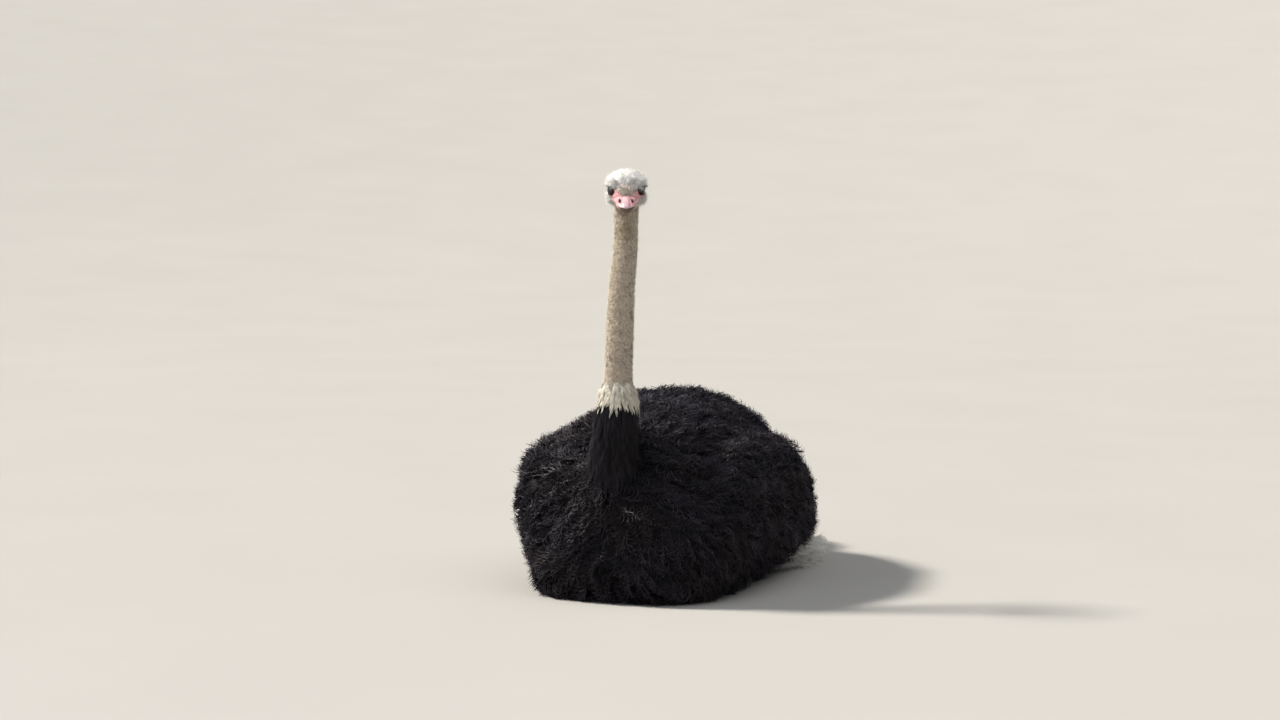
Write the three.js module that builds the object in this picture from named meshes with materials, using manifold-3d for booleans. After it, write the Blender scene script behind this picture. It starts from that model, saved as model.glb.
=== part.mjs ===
// A life-size male common ostrich at rest: the body lies on its folded legs, the neck stands up and the head
// is turned to the bird's left. Its plumage is included, so each solid reaches out to the tips of the feathers.
// Units are millimetres, +Z is up. The bird faces -Y and its left side is +X.
import * as THREE from "three";
import { mergeVertices } from "three/addons/utils/BufferGeometryUtils.js";
import Module from "manifold-3d";

const wasm = await Module();
wasm.setup();

// ---- Driving dimensions ----
const GAP = 0.4; // clearance between neighbouring solids
const BREAST_Y = -575; // front of the breast
const RUMP_Y = 625; // end of the rump, under the tail
const BACK_HEIGHT = 545; // floor to the top of the back
const TRUNK_HALF_WIDTH = 322; // without the wings
const WING_REACH = 366; // midline to the outside of a folded wing
const TAIL_END_Y = 850; // tip of the tail plumes
const COLLAR_BOTTOM = 556; // height of the white collar's lower edge
const COLLAR_TOP = 622; // height of the white collar's upper edge
const EYE_HEIGHT = 1131; // floor to the middle of the eyes
const EYES_Y = -528; // the middle of the eyes, along the body
const HEAD_SHIFT = 41; // the middle of the head, to the bird's left of the midline
const HEAD_TURN = THREE.MathUtils.degToRad(18); // head and upper neck, turned to the bird's left
const HEAD_DIP = THREE.MathUtils.degToRad(10); // bill below the horizontal
const HOCK_Y = 432; // the heel joint, at the back of the folded leg
const ANKLE_Y = -28; // where the toes start, one shank bone in front of the hock
const LEG_X = 140; // midline to the bone of the folded lower leg

// ---- Materials ----
const black_plumage = new THREE.MeshStandardMaterial({ color: 0x17151a, roughness: 0.85, metalness: 0 });
const white_plumage = new THREE.MeshStandardMaterial({ color: 0xe6e3dc, roughness: 0.9, metalness: 0 });
const neck_down = new THREE.MeshStandardMaterial({ color: 0xb7aa95, roughness: 0.95, metalness: 0 });
const head_down = new THREE.MeshStandardMaterial({ color: 0xd6d1c8, roughness: 0.95, metalness: 0 });
const tail_plumage = new THREE.MeshStandardMaterial({ color: 0xb9a78c, roughness: 0.9, metalness: 0 });
const bill_horn = new THREE.MeshStandardMaterial({ color: 0xd98a8d, roughness: 0.45, metalness: 0 });
const eye_gloss = new THREE.MeshStandardMaterial({ color: 0x1a0f0a, roughness: 0.08, metalness: 0 });
const bare_skin = new THREE.MeshStandardMaterial({ color: 0xa98a80, roughness: 0.7, metalness: 0 });
const claw_horn = new THREE.MeshStandardMaterial({ color: 0x4b3d33, roughness: 0.4, metalness: 0 });

// ---- Shapes ----

// Reads a table of rows [t, a, b, ...] at any t, with a smooth cubic between its rows. Returns [a, b, ...].
function reader(rows) {
  const slope = (i, k) => {
    const a = rows[Math.max(i - 1, 0)];
    const b = rows[Math.min(i + 1, rows.length - 1)];
    return (b[k] - a[k]) / (b[0] - a[0]);
  };
  return (t) => {
    let i = 0;
    while (i < rows.length - 2 && t > rows[i + 1][0]) i++;
    const span = rows[i + 1][0] - rows[i][0];
    const u = THREE.MathUtils.clamp((t - rows[i][0]) / span, 0, 1);
    const values = [];
    for (let k = 1; k < rows[i].length; k++) {
      const p = rows[i][k];
      const q = rows[i + 1][k];
      const rise = u * u * (3 - 2 * u);
      const start = u * (1 - u) * (1 - u) * span * slope(i, k);
      const end = u * u * (u - 1) * span * slope(i + 1, k);
      values.push(p + (q - p) * rise + start + end);
    }
    return values;
  };
}

// How much of its section a loft keeps at t, so that its two ends are round: each dome is a share of the length.
function dome(t, [front, back]) {
  const at = (share, length) => Math.sqrt(Math.max(0, 1 - (1 - Math.min(share / length, 1)) ** 2));
  return (front > 0 ? at(t, front) : 1) * (back > 0 ? at(1 - t, back) : 1);
}

// Radius factor of a rounded box between an oval (power 2) and a square, at an angle.
function boxiness(angle, power) {
  return (Math.abs(Math.cos(angle)) ** power + Math.abs(Math.sin(angle)) ** power) ** (-1 / power);
}

// A closed surface through the sections of a body, turned so that its faces point out.
// section(t) gives {centre, across, up, half, top, bottom, power, footPower}; a section is half wide to each side
// and reaches top above and bottom below its centre.
function loft({ section, rings, sides, domes = [0.25, 0.25], swell = () => 1 }) {
  const points = [];
  const triangles = [];
  const ring = (t) => {
    const s = section(t);
    const keep = dome(t, domes);
    for (let j = 0; j < sides; j++) {
      const angle = (2 * Math.PI * j) / sides;
      const upper = Math.sin(angle) >= 0;
      const reach = keep * boxiness(angle, upper ? s.power : (s.footPower ?? s.power)) * swell(t, angle);
      const x = s.half * Math.cos(angle) * reach;
      const z = (upper ? s.top : s.bottom) * Math.sin(angle) * reach;
      points.push(s.centre.clone().addScaledVector(s.across, x).addScaledVector(s.up, z));
    }
  };
  const first = domes[0] > 0 ? 1 : 0;
  const last = domes[1] > 0 ? rings - 1 : rings;
  for (let i = first; i <= last; i++) ring((1 - Math.cos((Math.PI * i) / rings)) / 2);
  const count = last - first + 1;
  points.push(section(0).centre, section(1).centre);
  for (let i = 0; i < count - 1; i++) {
    for (let j = 0; j < sides; j++) {
      const a = i * sides + j;
      const b = i * sides + ((j + 1) % sides);
      triangles.push(a, b, b + sides, a, b + sides, a + sides);
    }
  }
  for (let j = 0; j < sides; j++) {
    const next = (j + 1) % sides;
    const end = (count - 1) * sides;
    triangles.push(count * sides, next, j);
    triangles.push(count * sides + 1, end + j, end + next);
  }
  const geometry = new THREE.BufferGeometry().setFromPoints(points).setIndex(triangles);
  return facingOut(geometry);
}

// Turns a closed geometry's triangles round if its volume comes out negative.
function facingOut(geometry) {
  const index = geometry.index.array;
  const [a, b, c] = [new THREE.Vector3(), new THREE.Vector3(), new THREE.Vector3()];
  const place = geometry.getAttribute("position");
  let volume = 0;
  for (let i = 0; i < index.length; i += 3) {
    a.fromBufferAttribute(place, index[i]);
    b.fromBufferAttribute(place, index[i + 1]);
    c.fromBufferAttribute(place, index[i + 2]);
    volume += a.dot(b.cross(c));
  }
  if (volume < 0) for (let i = 0; i < index.length; i += 3) [index[i], index[i + 1]] = [index[i + 1], index[i]];
  return geometry;
}

// Upright sections across the body at a run of y. A row is [y, x, z, half, top, bottom] and side mirrors it.
function barrel({ rows, side = 1, power = 2, footPower = 2, grow = 0, ...rest }) {
  const read = reader(rows);
  const start = rows[0][0];
  const length = rows[rows.length - 1][0] - start;
  const section = (t) => {
    const [x, z, half, top, bottom] = read(start + t * length);
    return {
      centre: new THREE.Vector3(side * x, start + t * length + grow * (2 * t - 1), z),
      across: new THREE.Vector3(1, 0, 0),
      up: new THREE.Vector3(0, 0, 1),
      half: half + grow,
      top: top + grow,
      bottom: bottom + grow,
      power,
      footPower,
    };
  };
  return loft({ section, ...rest });
}

// Sections square to a path. A row of sizes is [t, half, depth]; across is the direction of half.
function limb({ path, sizes, across, power = 2, grow = 0, from = 0, to = 1, ...rest }) {
  const curve = new THREE.CatmullRomCurve3(path.map((p) => new THREE.Vector3(...p)));
  const read = reader(sizes);
  const section = (share) => {
    const t = from + share * (to - from);
    const along = curve.getTangentAt(t);
    const [half, depth] = read(t);
    const wide = across(t).addScaledVector(along, -across(t).dot(along)).normalize();
    return {
      centre: curve.getPointAt(t).addScaledVector(along, grow * (2 * share - 1)),
      across: wide,
      up: new THREE.Vector3().crossVectors(wide, along),
      half: half + grow,
      top: depth + grow,
      bottom: depth + grow,
      power,
    };
  };
  return loft({ section, ...rest });
}

const sideAxis = () => new THREE.Vector3(1, 0, 0);

function ball(radius, x, y, z, stretch = [1, 1, 1], detail = [20, 14]) {
  return new THREE.SphereGeometry(radius, ...detail).scale(...stretch).translate(x, y, z);
}

// ---- Joining and cutting ----

function solid(geometry) {
  const bare = geometry.clone();
  bare.deleteAttribute("normal");
  bare.deleteAttribute("uv");
  const merged = mergeVertices(bare, 1e-4);
  const vertProperties = merged.getAttribute("position").array;
  return new wasm.Manifold(
    new wasm.Mesh({ numProp: 3, vertProperties, triVerts: new Uint32Array(merged.index.array) }),
  );
}

function geometryOf(manifold) {
  const mesh = manifold.getMesh();
  return new THREE.BufferGeometry()
    .setAttribute("position", new THREE.BufferAttribute(mesh.vertProperties, 3))
    .setIndex(new THREE.BufferAttribute(mesh.triVerts, 1));
}

function carve(geometry, cutters) {
  return geometryOf(cutters.reduce((left, cutter) => left.subtract(solid(cutter)), solid(geometry)));
}

const underFloor = new THREE.BoxGeometry(4000, 4000, 800).translate(0, 0, -400);

function piece(name, geometry, material) {
  const shown = geometry.toNonIndexed();
  shown.computeVertexNormals();
  const mesh = new THREE.Mesh(shown, material);
  mesh.name = name;
  return mesh;
}

// ---- Trunk: breast, back and rump, flat underneath where the bird lies on the floor ----

const BELOW = 60; // how far the unflattened belly would reach under the floor
function trunkShape(grow = 0) {
  const W = TRUNK_HALF_WIDTH;
  const H = BACK_HEIGHT;
  const row = (y, half, widest, top) => [y, 0, widest, half, top - widest, widest + BELOW];
  return barrel({
    rows: [
      row(BREAST_Y, 0.8 * W, 200, 0.82 * H),
      row(-440, 0.9 * W, 200, 0.91 * H),
      row(-250, W, 195, 0.98 * H),
      row(0, W, 180, H),
      row(200, 0.99 * W, 165, 0.965 * H),
      row(400, 0.9 * W, 150, 0.82 * H),
      row(RUMP_Y, 0.7 * W, 160, 0.56 * H),
    ],
    power: 2.1,
    footPower: 3,
    rings: 18,
    sides: 28,
    domes: [0.13, 0.3],
    grow,
  });
}

// ---- Wings, folded along the flanks and drooping to the floor at the back ----

function wingShape(side, grow = 0) {
  const row = (y, tuck, thick, z, up, down) => [y, WING_REACH - tuck - thick, z, thick, up, down];
  return barrel({
    rows: [
      row(-480, 22, 92, 258, 140, 170),
      row(-330, 14, 86, 256, 166, 200),
      row(-100, 2, 86, 244, 194, 202),
      row(150, 0, 88, 202, 202, 180),
      row(350, 10, 88, 152, 174, 132),
      row(530, 22, 92, 118, 116, 100),
    ],
    side,
    power: 2.3,
    footPower: 2.3,
    rings: 12,
    sides: 18,
    domes: [0.2, 0.3],
    grow,
  });
}

// The white quills of a folded wing, which show under its back edge and lie on the floor.
function primariesShape(side, grow = 0) {
  return limb({
    path: [
      [side * 262, 60, 34],
      [side * 312, 200, 34],
      [side * 334, 330, 30],
      [side * 318, 500, 24],
    ],
    sizes: [
      [0, 44, 30],
      [0.5, 52, 38],
      [1, 40, 26],
    ],
    across: sideAxis,
    rings: 7,
    sides: 12,
    domes: [0.3, 0.35],
    grow,
  });
}

// ---- Tail plumes, drooping from the rump to the floor ----

function tailShape(grow = 0) {
  return limb({
    path: [
      [0, 500, 235],
      [0, 620, 205],
      [0, 750, 115],
      [0, TAIL_END_Y, 52],
    ],
    sizes: [
      [0, 80, 50],
      [0.45, 125, 78],
      [0.8, 140, 74],
      [1, 120, 58],
    ],
    across: sideAxis,
    power: 2.2,
    rings: 9,
    sides: 16,
    domes: [0.3, 0.25],
    grow,
  });
}

// ---- Neck: a feathered base, the white collar and three lengths under short down ----

const NECK_TOP = EYE_HEIGHT - 46;
const NECK_PATH = [
  [0, -400, 300],
  [4, -492, 390],
  [15, -538, 490],
  [22, -544, COLLAR_BOTTOM],
  [23, -536, 700],
  [24, -520, 850],
  [32, -507, 980],
  [HEAD_SHIFT - 13, EYES_Y + 34, 1040],
  [HEAD_SHIFT - 12, EYES_Y + 41, NECK_TOP],
];
const NECK_CURVE = new THREE.CatmullRomCurve3(NECK_PATH.map((p) => new THREE.Vector3(...p)));

// The place along the neck at a height, found by halving.
function neckAt(height) {
  let [low, high] = [0, 1];
  for (let i = 0; i < 40; i++) {
    const middle = (low + high) / 2;
    if (NECK_CURVE.getPointAt(middle).z < height) low = middle;
    else high = middle;
  }
  return (low + high) / 2;
}

const COLLAR_FROM = neckAt(COLLAR_BOTTOM);
const COLLAR_TO = neckAt(COLLAR_TOP);
const NECK_SIZES = [
  [0, 84, 92],
  [neckAt(400), 74, 80],
  [neckAt(500), 61, 64],
  [COLLAR_FROM - 0.004, 58, 60],
  [COLLAR_FROM + 0.012, 56, 58],
  [COLLAR_TO, 43.5, 46],
  [neckAt(700), 41.5, 44],
  [neckAt(850), 39, 41.5],
  [neckAt(980), 36, 38],
  [1, 35, 38],
];

const NECK_BASE_RINGS = 6;
const NECK_RINGS = 4; // along the collar and along each length of the neck
function neckShape(from, to, rings, grow = 0) {
  const gap = GAP / 2 / NECK_CURVE.getLength();
  const turn = (t) => HEAD_TURN * THREE.MathUtils.smoothstep(t, COLLAR_TO, 1);
  return limb({
    path: NECK_PATH,
    sizes: NECK_SIZES,
    across: (t) => new THREE.Vector3(Math.cos(turn(t)), Math.sin(turn(t)), 0),
    rings,
    sides: 18,
    domes: [0, 0],
    from: from + (from > 0 ? gap : 0),
    to: to - (to < 1 ? gap : 0),
    grow,
  });
}

// ---- Head, in its own frame: the origin is midway between the eyes, the bill points along -Y ----

const EYE_RADIUS = 22.5;
const EYE_OUT = 25.5; // midline to the centre of an eyeball
const CROWN_UP = 48; // eyes to the top of the crown feathers
const BILL_TIP = -124;
const GAPE_Z = -31; // the closed mouth's line below the eyes

function headShape() {
  const row = (y, half, z, top, bottom) => [y, 0, z, half, top - z, z - bottom];
  return barrel({
    rows: [
      row(-58, 40, -8, 18, -42),
      row(-38, 47, -2, 37, -45),
      row(-10, 54, 6, CROWN_UP - 3, -50),
      row(22, 55, 8, CROWN_UP, -54),
      row(48, 52, 6, CROWN_UP - 6, -54),
      row(76, 44, 0, CROWN_UP - 20, -50),
    ],
    power: 2.2,
    footPower: 3,
    rings: 14,
    sides: 24,
    domes: [0.22, 0.42],
  });
}

const eyeShape = (side, grow = 0) => ball(EYE_RADIUS + grow, side * EYE_OUT, -5, 0, [1, 1, 1], [16, 10]);
const orbitShape = (side) => ball(30, side * 62, -13, -6, [1, 1, 0.9], [12, 8]);

// The closed bill: a broad flat wedge with a ridge along its top and a rounded tip.
function billUpperShape(grow = 0) {
  const row = (y, half, depth) => [y, 0, GAPE_Z + 0.3 * depth, half, 0.7 * depth, 0.3 * depth];
  const ridge = (t, angle) => 1 + 0.16 * Math.exp(-(((angle - Math.PI / 2) / 0.3) ** 2)) * (1 - t) ** 0.5;
  return barrel({
    rows: [
      row(BILL_TIP, 19, 9),
      row(-112, 22, 12),
      row(-92, 25, 17),
      row(-68, 28, 25),
      row(-40, 33, 36),
    ],
    power: 2.2,
    footPower: 3,
    rings: 8,
    sides: 16,
    domes: [0.28, 0],
    swell: ridge,
    grow,
  });
}

function billLowerShape(grow = 0) {
  const row = (y, half, depth) => [y, 0, GAPE_Z - GAP - 0.35 * depth, half, 0.35 * depth, 0.65 * depth];
  return barrel({
    rows: [
      row(BILL_TIP + 4, 17, 8),
      row(-108, 20, 10),
      row(-80, 24, 12),
      row(-40, 29, 14),
    ],
    power: 3,
    footPower: 2.2,
    rings: 6,
    sides: 12,
    domes: [0.26, 0],
    grow,
  });
}

const nostrilShape = (side) => ball(5, side * 16.5, -82, GAPE_Z + 14.5, [0.55, 1.5, 0.9], [8, 6]);

// ---- Folded legs ----

function legPoints(side) {
  return {
    hock: [side * LEG_X, HOCK_Y, 52],
    ankle: [side * (LEG_X + 12), ANKLE_Y, 34],
  };
}

function shankShape(side, grow = 0) {
  const { hock } = legPoints(side);
  return limb({
    path: [
      [side * 150, -90, 196],
      [side * 152, 110, 160],
      [side * 147, 290, 108],
      [hock[0], hock[1] - 22, 74],
    ],
    sizes: [
      [0, 56, 56],
      [0.3, 58, 62],
      [0.62, 38, 40],
      [0.85, 25, 26],
      [1, 25, 24],
    ],
    across: sideAxis,
    rings: 6,
    sides: 8,
    domes: [0.18, 0],
    grow,
  });
}

function tarsusShape(side, grow = 0) {
  const { hock, ankle } = legPoints(side);
  return limb({
    path: [
      [hock[0], hock[1] + 20, 60],
      [hock[0], hock[1] - 25, 36],
      [hock[0] + side * 4, hock[1] - 120, 27],
      [hock[0] + side * 8, ankle[1] + 130, 26],
      [ankle[0], ankle[1] + 4, 28],
    ],
    sizes: [
      [0, 36, 34],
      [0.1, 37, 38],
      [0.3, 26, 30],
      [0.75, 24, 29],
      [1, 35, 32],
    ],
    across: sideAxis,
    rings: 8,
    sides: 8,
    domes: [0.07, 0],
    grow,
  });
}

function innerToeShape(side, grow = 0) {
  const { ankle } = legPoints(side);
  return limb({
    path: [
      [ankle[0] - side * 6, ankle[1], 27],
      [ankle[0] - side * 9, ankle[1] - 70, 23],
      [ankle[0] - side * 12, ankle[1] - 140, 21],
      [ankle[0] - side * 14, ankle[1] - 196, 19],
    ],
    sizes: [
      [0, 27, 30],
      [0.3, 25, 25],
      [0.6, 27, 25],
      [1, 24, 22],
    ],
    across: sideAxis,
    rings: 6,
    sides: 8,
    domes: [0, 0.14],
    grow,
  });
}

function outerToeShape(side, grow = 0) {
  const { ankle } = legPoints(side);
  return limb({
    path: [
      [ankle[0] + side * 26, ankle[1] + 6, 22],
      [ankle[0] + side * 42, ankle[1] - 50, 18],
      [ankle[0] + side * 58, ankle[1] - 112, 15],
    ],
    sizes: [
      [0, 15, 21],
      [0.5, 16, 19],
      [1, 15, 16],
    ],
    across: sideAxis,
    rings: 5,
    sides: 8,
    domes: [0.2, 0.2],
    grow,
  });
}

function clawShape(side, grow = 0) {
  const { ankle } = legPoints(side);
  return limb({
    path: [
      [ankle[0] - side * 14, ankle[1] - 176, 28],
      [ankle[0] - side * 15, ankle[1] - 215, 22],
      [ankle[0] - side * 16, ankle[1] - 258, 5],
    ],
    sizes: [
      [0, 13, 9],
      [0.5, 12, 9],
      [1, 4, 3],
    ],
    across: sideAxis,
    rings: 5,
    sides: 6,
    domes: [0.15, 0.15],
    grow,
  });
}

// ---- The bird put together: each solid is cut back by what it meets ----

const ostrich = new THREE.Group();
const SIDES = { left: 1, right: -1 };

for (const [word, side] of Object.entries(SIDES)) {
  const leg = new THREE.Group();
  const claw = carve(clawShape(side), [underFloor]);
  const innerToe = carve(innerToeShape(side), [underFloor, clawShape(side, GAP), tarsusShape(side, GAP)]);
  const outerToe = carve(outerToeShape(side), [underFloor, innerToeShape(side, GAP), tarsusShape(side, GAP)]);
  const tarsus = carve(tarsusShape(side), [underFloor, shankShape(side, GAP)]);
  const shank = carve(shankShape(side), [underFloor]);
  leg.add(piece(`shank_${word}`, shank, bare_skin));
  leg.add(piece(`tarsus_${word}`, tarsus, bare_skin));
  leg.add(piece(`toe_inner_${word}`, innerToe, bare_skin));
  leg.add(piece(`toe_outer_${word}`, outerToe, bare_skin));
  leg.add(piece(`claw_${word}`, claw, claw_horn));
  ostrich.add(leg);
}

const legCutters = Object.values(SIDES).flatMap((side) => [
  shankShape(side, GAP),
  tarsusShape(side, GAP),
  innerToeShape(side, GAP),
  outerToeShape(side, GAP),
  clawShape(side, GAP),
]);
const wingCutters = Object.values(SIDES).flatMap((side) => [wingShape(side, GAP), primariesShape(side, GAP)]);
const neckBaseCutter = neckShape(0, COLLAR_FROM, NECK_BASE_RINGS, GAP);
const tailCutter = tailShape(GAP);

const trunk = carve(trunkShape(), [underFloor, ...legCutters, ...wingCutters, neckBaseCutter, tailCutter]);
ostrich.add(piece("trunk", trunk, black_plumage));

for (const [word, side] of Object.entries(SIDES)) {
  const wing = carve(wingShape(side), [underFloor, primariesShape(side, GAP), ...legCutters, neckBaseCutter]);
  ostrich.add(piece(`wing_${word}`, wing, black_plumage));
  const primaries = carve(primariesShape(side), [underFloor, ...legCutters]);
  ostrich.add(piece(`primaries_${word}`, primaries, white_plumage));
}

ostrich.add(piece("tail", carve(tailShape(), [underFloor, ...legCutters]), tail_plumage));

const neck = new THREE.Group();
const NECK_LENGTHS = 3;
neck.add(piece("neck_base", neckShape(0, COLLAR_FROM, NECK_BASE_RINGS), black_plumage));
neck.add(piece("collar", neckShape(COLLAR_FROM, COLLAR_TO, NECK_RINGS), white_plumage));
["lower", "middle", "upper"].forEach((word, i) => {
  const step = (1 - COLLAR_TO) / NECK_LENGTHS;
  const length = neckShape(COLLAR_TO + i * step, COLLAR_TO + (i + 1) * step, NECK_RINGS);
  neck.add(piece(`neck_${word}`, length, neck_down));
});
ostrich.add(neck);

const head = new THREE.Group();
head.position.set(HEAD_SHIFT, EYES_Y, EYE_HEIGHT);
head.rotation.set(HEAD_DIP, 0, HEAD_TURN, "ZYX");
head.updateMatrix();
const neckInHead = neckShape(neckAt(NECK_TOP - 130), 1, NECK_RINGS, GAP);
neckInHead.applyMatrix4(head.matrix.clone().invert());
const skull = carve(headShape(), [
  neckInHead,
  billUpperShape(GAP),
  billLowerShape(GAP),
  ...Object.values(SIDES).flatMap((side) => [orbitShape(side), eyeShape(side, GAP)]),
]);
head.add(piece("head", skull, head_down));
head.add(piece("bill_upper", carve(billUpperShape(), Object.values(SIDES).map(nostrilShape)), bill_horn));
head.add(piece("bill_lower", billLowerShape(), bill_horn));
for (const [word, side] of Object.entries(SIDES)) head.add(piece(`eye_${word}`, eyeShape(side), eye_gloss));
ostrich.add(head);

// The origin is the middle of the bird's box, on the floor.
const box = new THREE.Box3().setFromObject(ostrich, true);
ostrich.position.set(-(box.min.x + box.max.x) / 2, -(box.min.y + box.max.y) / 2, 0);

export default ostrich;
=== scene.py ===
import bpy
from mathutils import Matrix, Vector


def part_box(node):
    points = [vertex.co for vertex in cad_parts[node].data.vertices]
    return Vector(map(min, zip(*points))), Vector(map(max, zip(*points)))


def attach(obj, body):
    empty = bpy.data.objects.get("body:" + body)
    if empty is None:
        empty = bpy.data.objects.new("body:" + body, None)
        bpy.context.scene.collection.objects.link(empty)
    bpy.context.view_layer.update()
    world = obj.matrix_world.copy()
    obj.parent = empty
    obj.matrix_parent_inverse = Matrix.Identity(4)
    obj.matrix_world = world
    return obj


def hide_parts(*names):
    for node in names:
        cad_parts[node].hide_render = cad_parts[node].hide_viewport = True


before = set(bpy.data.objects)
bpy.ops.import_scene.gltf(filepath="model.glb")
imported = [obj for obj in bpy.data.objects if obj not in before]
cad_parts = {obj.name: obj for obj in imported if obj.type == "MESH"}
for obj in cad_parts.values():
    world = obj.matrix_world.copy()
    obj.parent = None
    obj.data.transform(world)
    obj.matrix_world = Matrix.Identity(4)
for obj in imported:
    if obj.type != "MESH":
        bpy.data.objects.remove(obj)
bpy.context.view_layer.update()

from math import cos, pi, radians, sin

import bpy
import numpy as np

# A male common ostrich at rest on its folded legs, life size. All is worked out in the bird's own frame, in
# metres: +Z up, the bird faces -Y and its left side is +X. The points of each piece then move by TO_FRAME,
# one step along the floor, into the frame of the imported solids.


# ---- Floor, light and camera: a pale studio floor that bends up all round, and three soft lamps ----
# The floor is painted plaster. The key comes from high on the bird's right and lights the crown, the right
# side of the neck and the right wing; a weak fill in front and a broad top lamp keep its left side soft.

FLOOR_FLAT = 8.0  # radius of the level disc
FLOOR_BEND = 60.0  # radius of the arc that it bends up along
FLOOR_TILT = radians(12)
FLOOR_SLOPE = 42.0  # length of the slope beyond the arc
FLOOR_AROUND, FLOOR_ALONG = 96, 61
LIT_POINT = (0.0, -0.2, 0.5)
KEY_WAY = (-4.8, -1.1, 4.8)
KEY_STRENGTH = 6.5
KEY_SOFTNESS = radians(9)
FILL_PLACE = (-2.2, -7.5, 3.2)
FILL_SIZE = 4.0
FILL_POWER = 90
TOP_WAY = (1.6, -1.2, 5.0)
TOP_STRENGTH = 1.2
TOP_SOFTNESS = radians(60)
SKY_STRENGTH = 0.25
CAMERA_PLACE = (2.2354, -7.2710, 1.220)
CAMERA_BELOW_LEVEL = radians(4.51)
CAMERA_ROUND = radians(18)
CAMERA_LENS = 73.125


def linear(colour):
    """A colour written as sRGB hex, as linear red, green, blue and full opacity."""
    parts = np.array([(colour >> shift) & 255 for shift in (16, 8, 0)]) / 255
    bright = ((parts + 0.055) / 1.055) ** 2.4
    return (*np.where(parts <= 0.04045, parts / 12.92, bright).tolist(), 1.0)


def add(tree, kind, sockets=(), **settings):
    """A node of a kind with its settings; each socket takes a value or another node's output."""
    node = tree.nodes.new("ShaderNode" + kind)
    for name, value in settings.items():
        setattr(node, name, value)
    for name, value in dict(sockets).items():
        if isinstance(value, bpy.types.NodeSocket):
            tree.links.new(value, node.inputs[name])
        else:
            node.inputs[name].default_value = value
    return node


def new_finish(name):
    """An empty node material: its tree and its surface shader."""
    material = bpy.data.materials.new(name)
    material.use_nodes = True
    return material, material.node_tree, material.node_tree.nodes["Principled BSDF"]


def fill_mesh(mesh, points, quads, triangles=()):
    """Puts points, quads and triangles into a mesh, all smooth."""
    quads = np.asarray(quads, np.int32).reshape(-1, 4)
    triangles = np.asarray(triangles, np.int32).reshape(-1, 3)
    starts = np.concatenate([4 * np.arange(len(quads)), 4 * len(quads) + 3 * np.arange(len(triangles))])
    mesh.vertices.add(len(points))
    mesh.vertices.foreach_set("co", np.asarray(points, np.float32).ravel())
    mesh.loops.add(quads.size + triangles.size)
    mesh.loops.foreach_set("vertex_index", np.concatenate([quads.ravel(), triangles.ravel()]))
    mesh.polygons.add(len(starts))
    mesh.polygons.foreach_set("loop_start", starts.astype(np.int32))
    mesh.polygons.foreach_set("use_smooth", np.ones(len(starts), bool))
    mesh.update(calc_edges=True)
    mesh.validate()


def tube_faces(around, along):
    """Quads of a grid that closes round its first direction, with its rows one after the other."""
    ring, step = np.meshgrid(np.arange(around), np.arange(along - 1), indexing="ij")
    a = (ring * along + step).ravel()
    b = (((ring + 1) % around) * along + step).ravel()
    return np.stack([a, b, b + 1, a + 1], -1)


def turn_grid(around, steps, whole=1.0):
    """A grid of places spaced evenly round a turn of this whole size, by the steps given along it."""
    return np.meshgrid(whole * np.arange(around) / around, steps, indexing="ij")


def shown(name, mesh):
    """The mesh as an object of the scene."""
    made = bpy.data.objects.new(name, mesh)
    bpy.context.scene.collection.objects.link(made)
    return made


def dish(u, v):
    """A flat disc that bends up along an arc into a gentle slope, so that the floor fills the whole
    picture."""
    along = v * (FLOOR_FLAT + FLOOR_TILT * FLOOR_BEND + FLOOR_SLOPE)
    turn = np.clip((along - FLOOR_FLAT) / FLOOR_BEND, 0, FLOOR_TILT)
    slope = np.maximum(along - FLOOR_FLAT - FLOOR_TILT * FLOOR_BEND, 0)
    out = np.minimum(along, FLOOR_FLAT) + FLOOR_BEND * np.sin(turn) + slope * cos(FLOOR_TILT)
    height = FLOOR_BEND * (1 - np.cos(turn)) + slope * sin(FLOOR_TILT)
    return np.stack([out * np.cos(2 * pi * u), out * np.sin(2 * pi * u), height], -1)


u, v = turn_grid(FLOOR_AROUND, np.linspace(0, 1, FLOOR_ALONG))
floor_mesh = bpy.data.meshes.new("floor")
fill_mesh(floor_mesh, dish(u, v).reshape(-1, 3), tube_faces(FLOOR_AROUND, FLOOR_ALONG)[:, ::-1])
floor = shown("floor", floor_mesh)

# Painted plaster: matt and even, with faint clouds about a metre wide where the brush went twice.
plaster, tree, shader = new_finish("painted_plaster")
place = add(tree, "TexCoord").outputs["Object"]
clouds = add(tree, "TexNoise", {"Vector": place, "Scale": 1.1, "Detail": 3}).outputs["Fac"]
mixed = add(tree, "Mix", {0: clouds, 6: linear(0xA2A09C), 7: linear(0xA8A6A2)}, data_type="RGBA")
tree.links.new(mixed.outputs[2], shader.inputs["Base Color"])
shader.inputs["Roughness"].default_value = 0.95
shader.inputs["Specular IOR Level"].default_value = 0.1
floor_mesh.materials.append(plaster)


def aimed(name, lamp, position, strength, colour):
    """A lamp at a place, turned to the bird and hidden from the camera."""
    lamp.energy, lamp.color = strength, linear(colour)[:3]
    made = shown(name, lamp)
    made.location = position
    way = np.array(LIT_POINT) - np.array(position)
    made.rotation_mode = "XYZ"
    made.rotation_euler = (np.arctan2(np.hypot(way[0], way[1]), -way[2]), 0, np.arctan2(-way[0], way[1]))
    made.visible_camera = False


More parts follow.
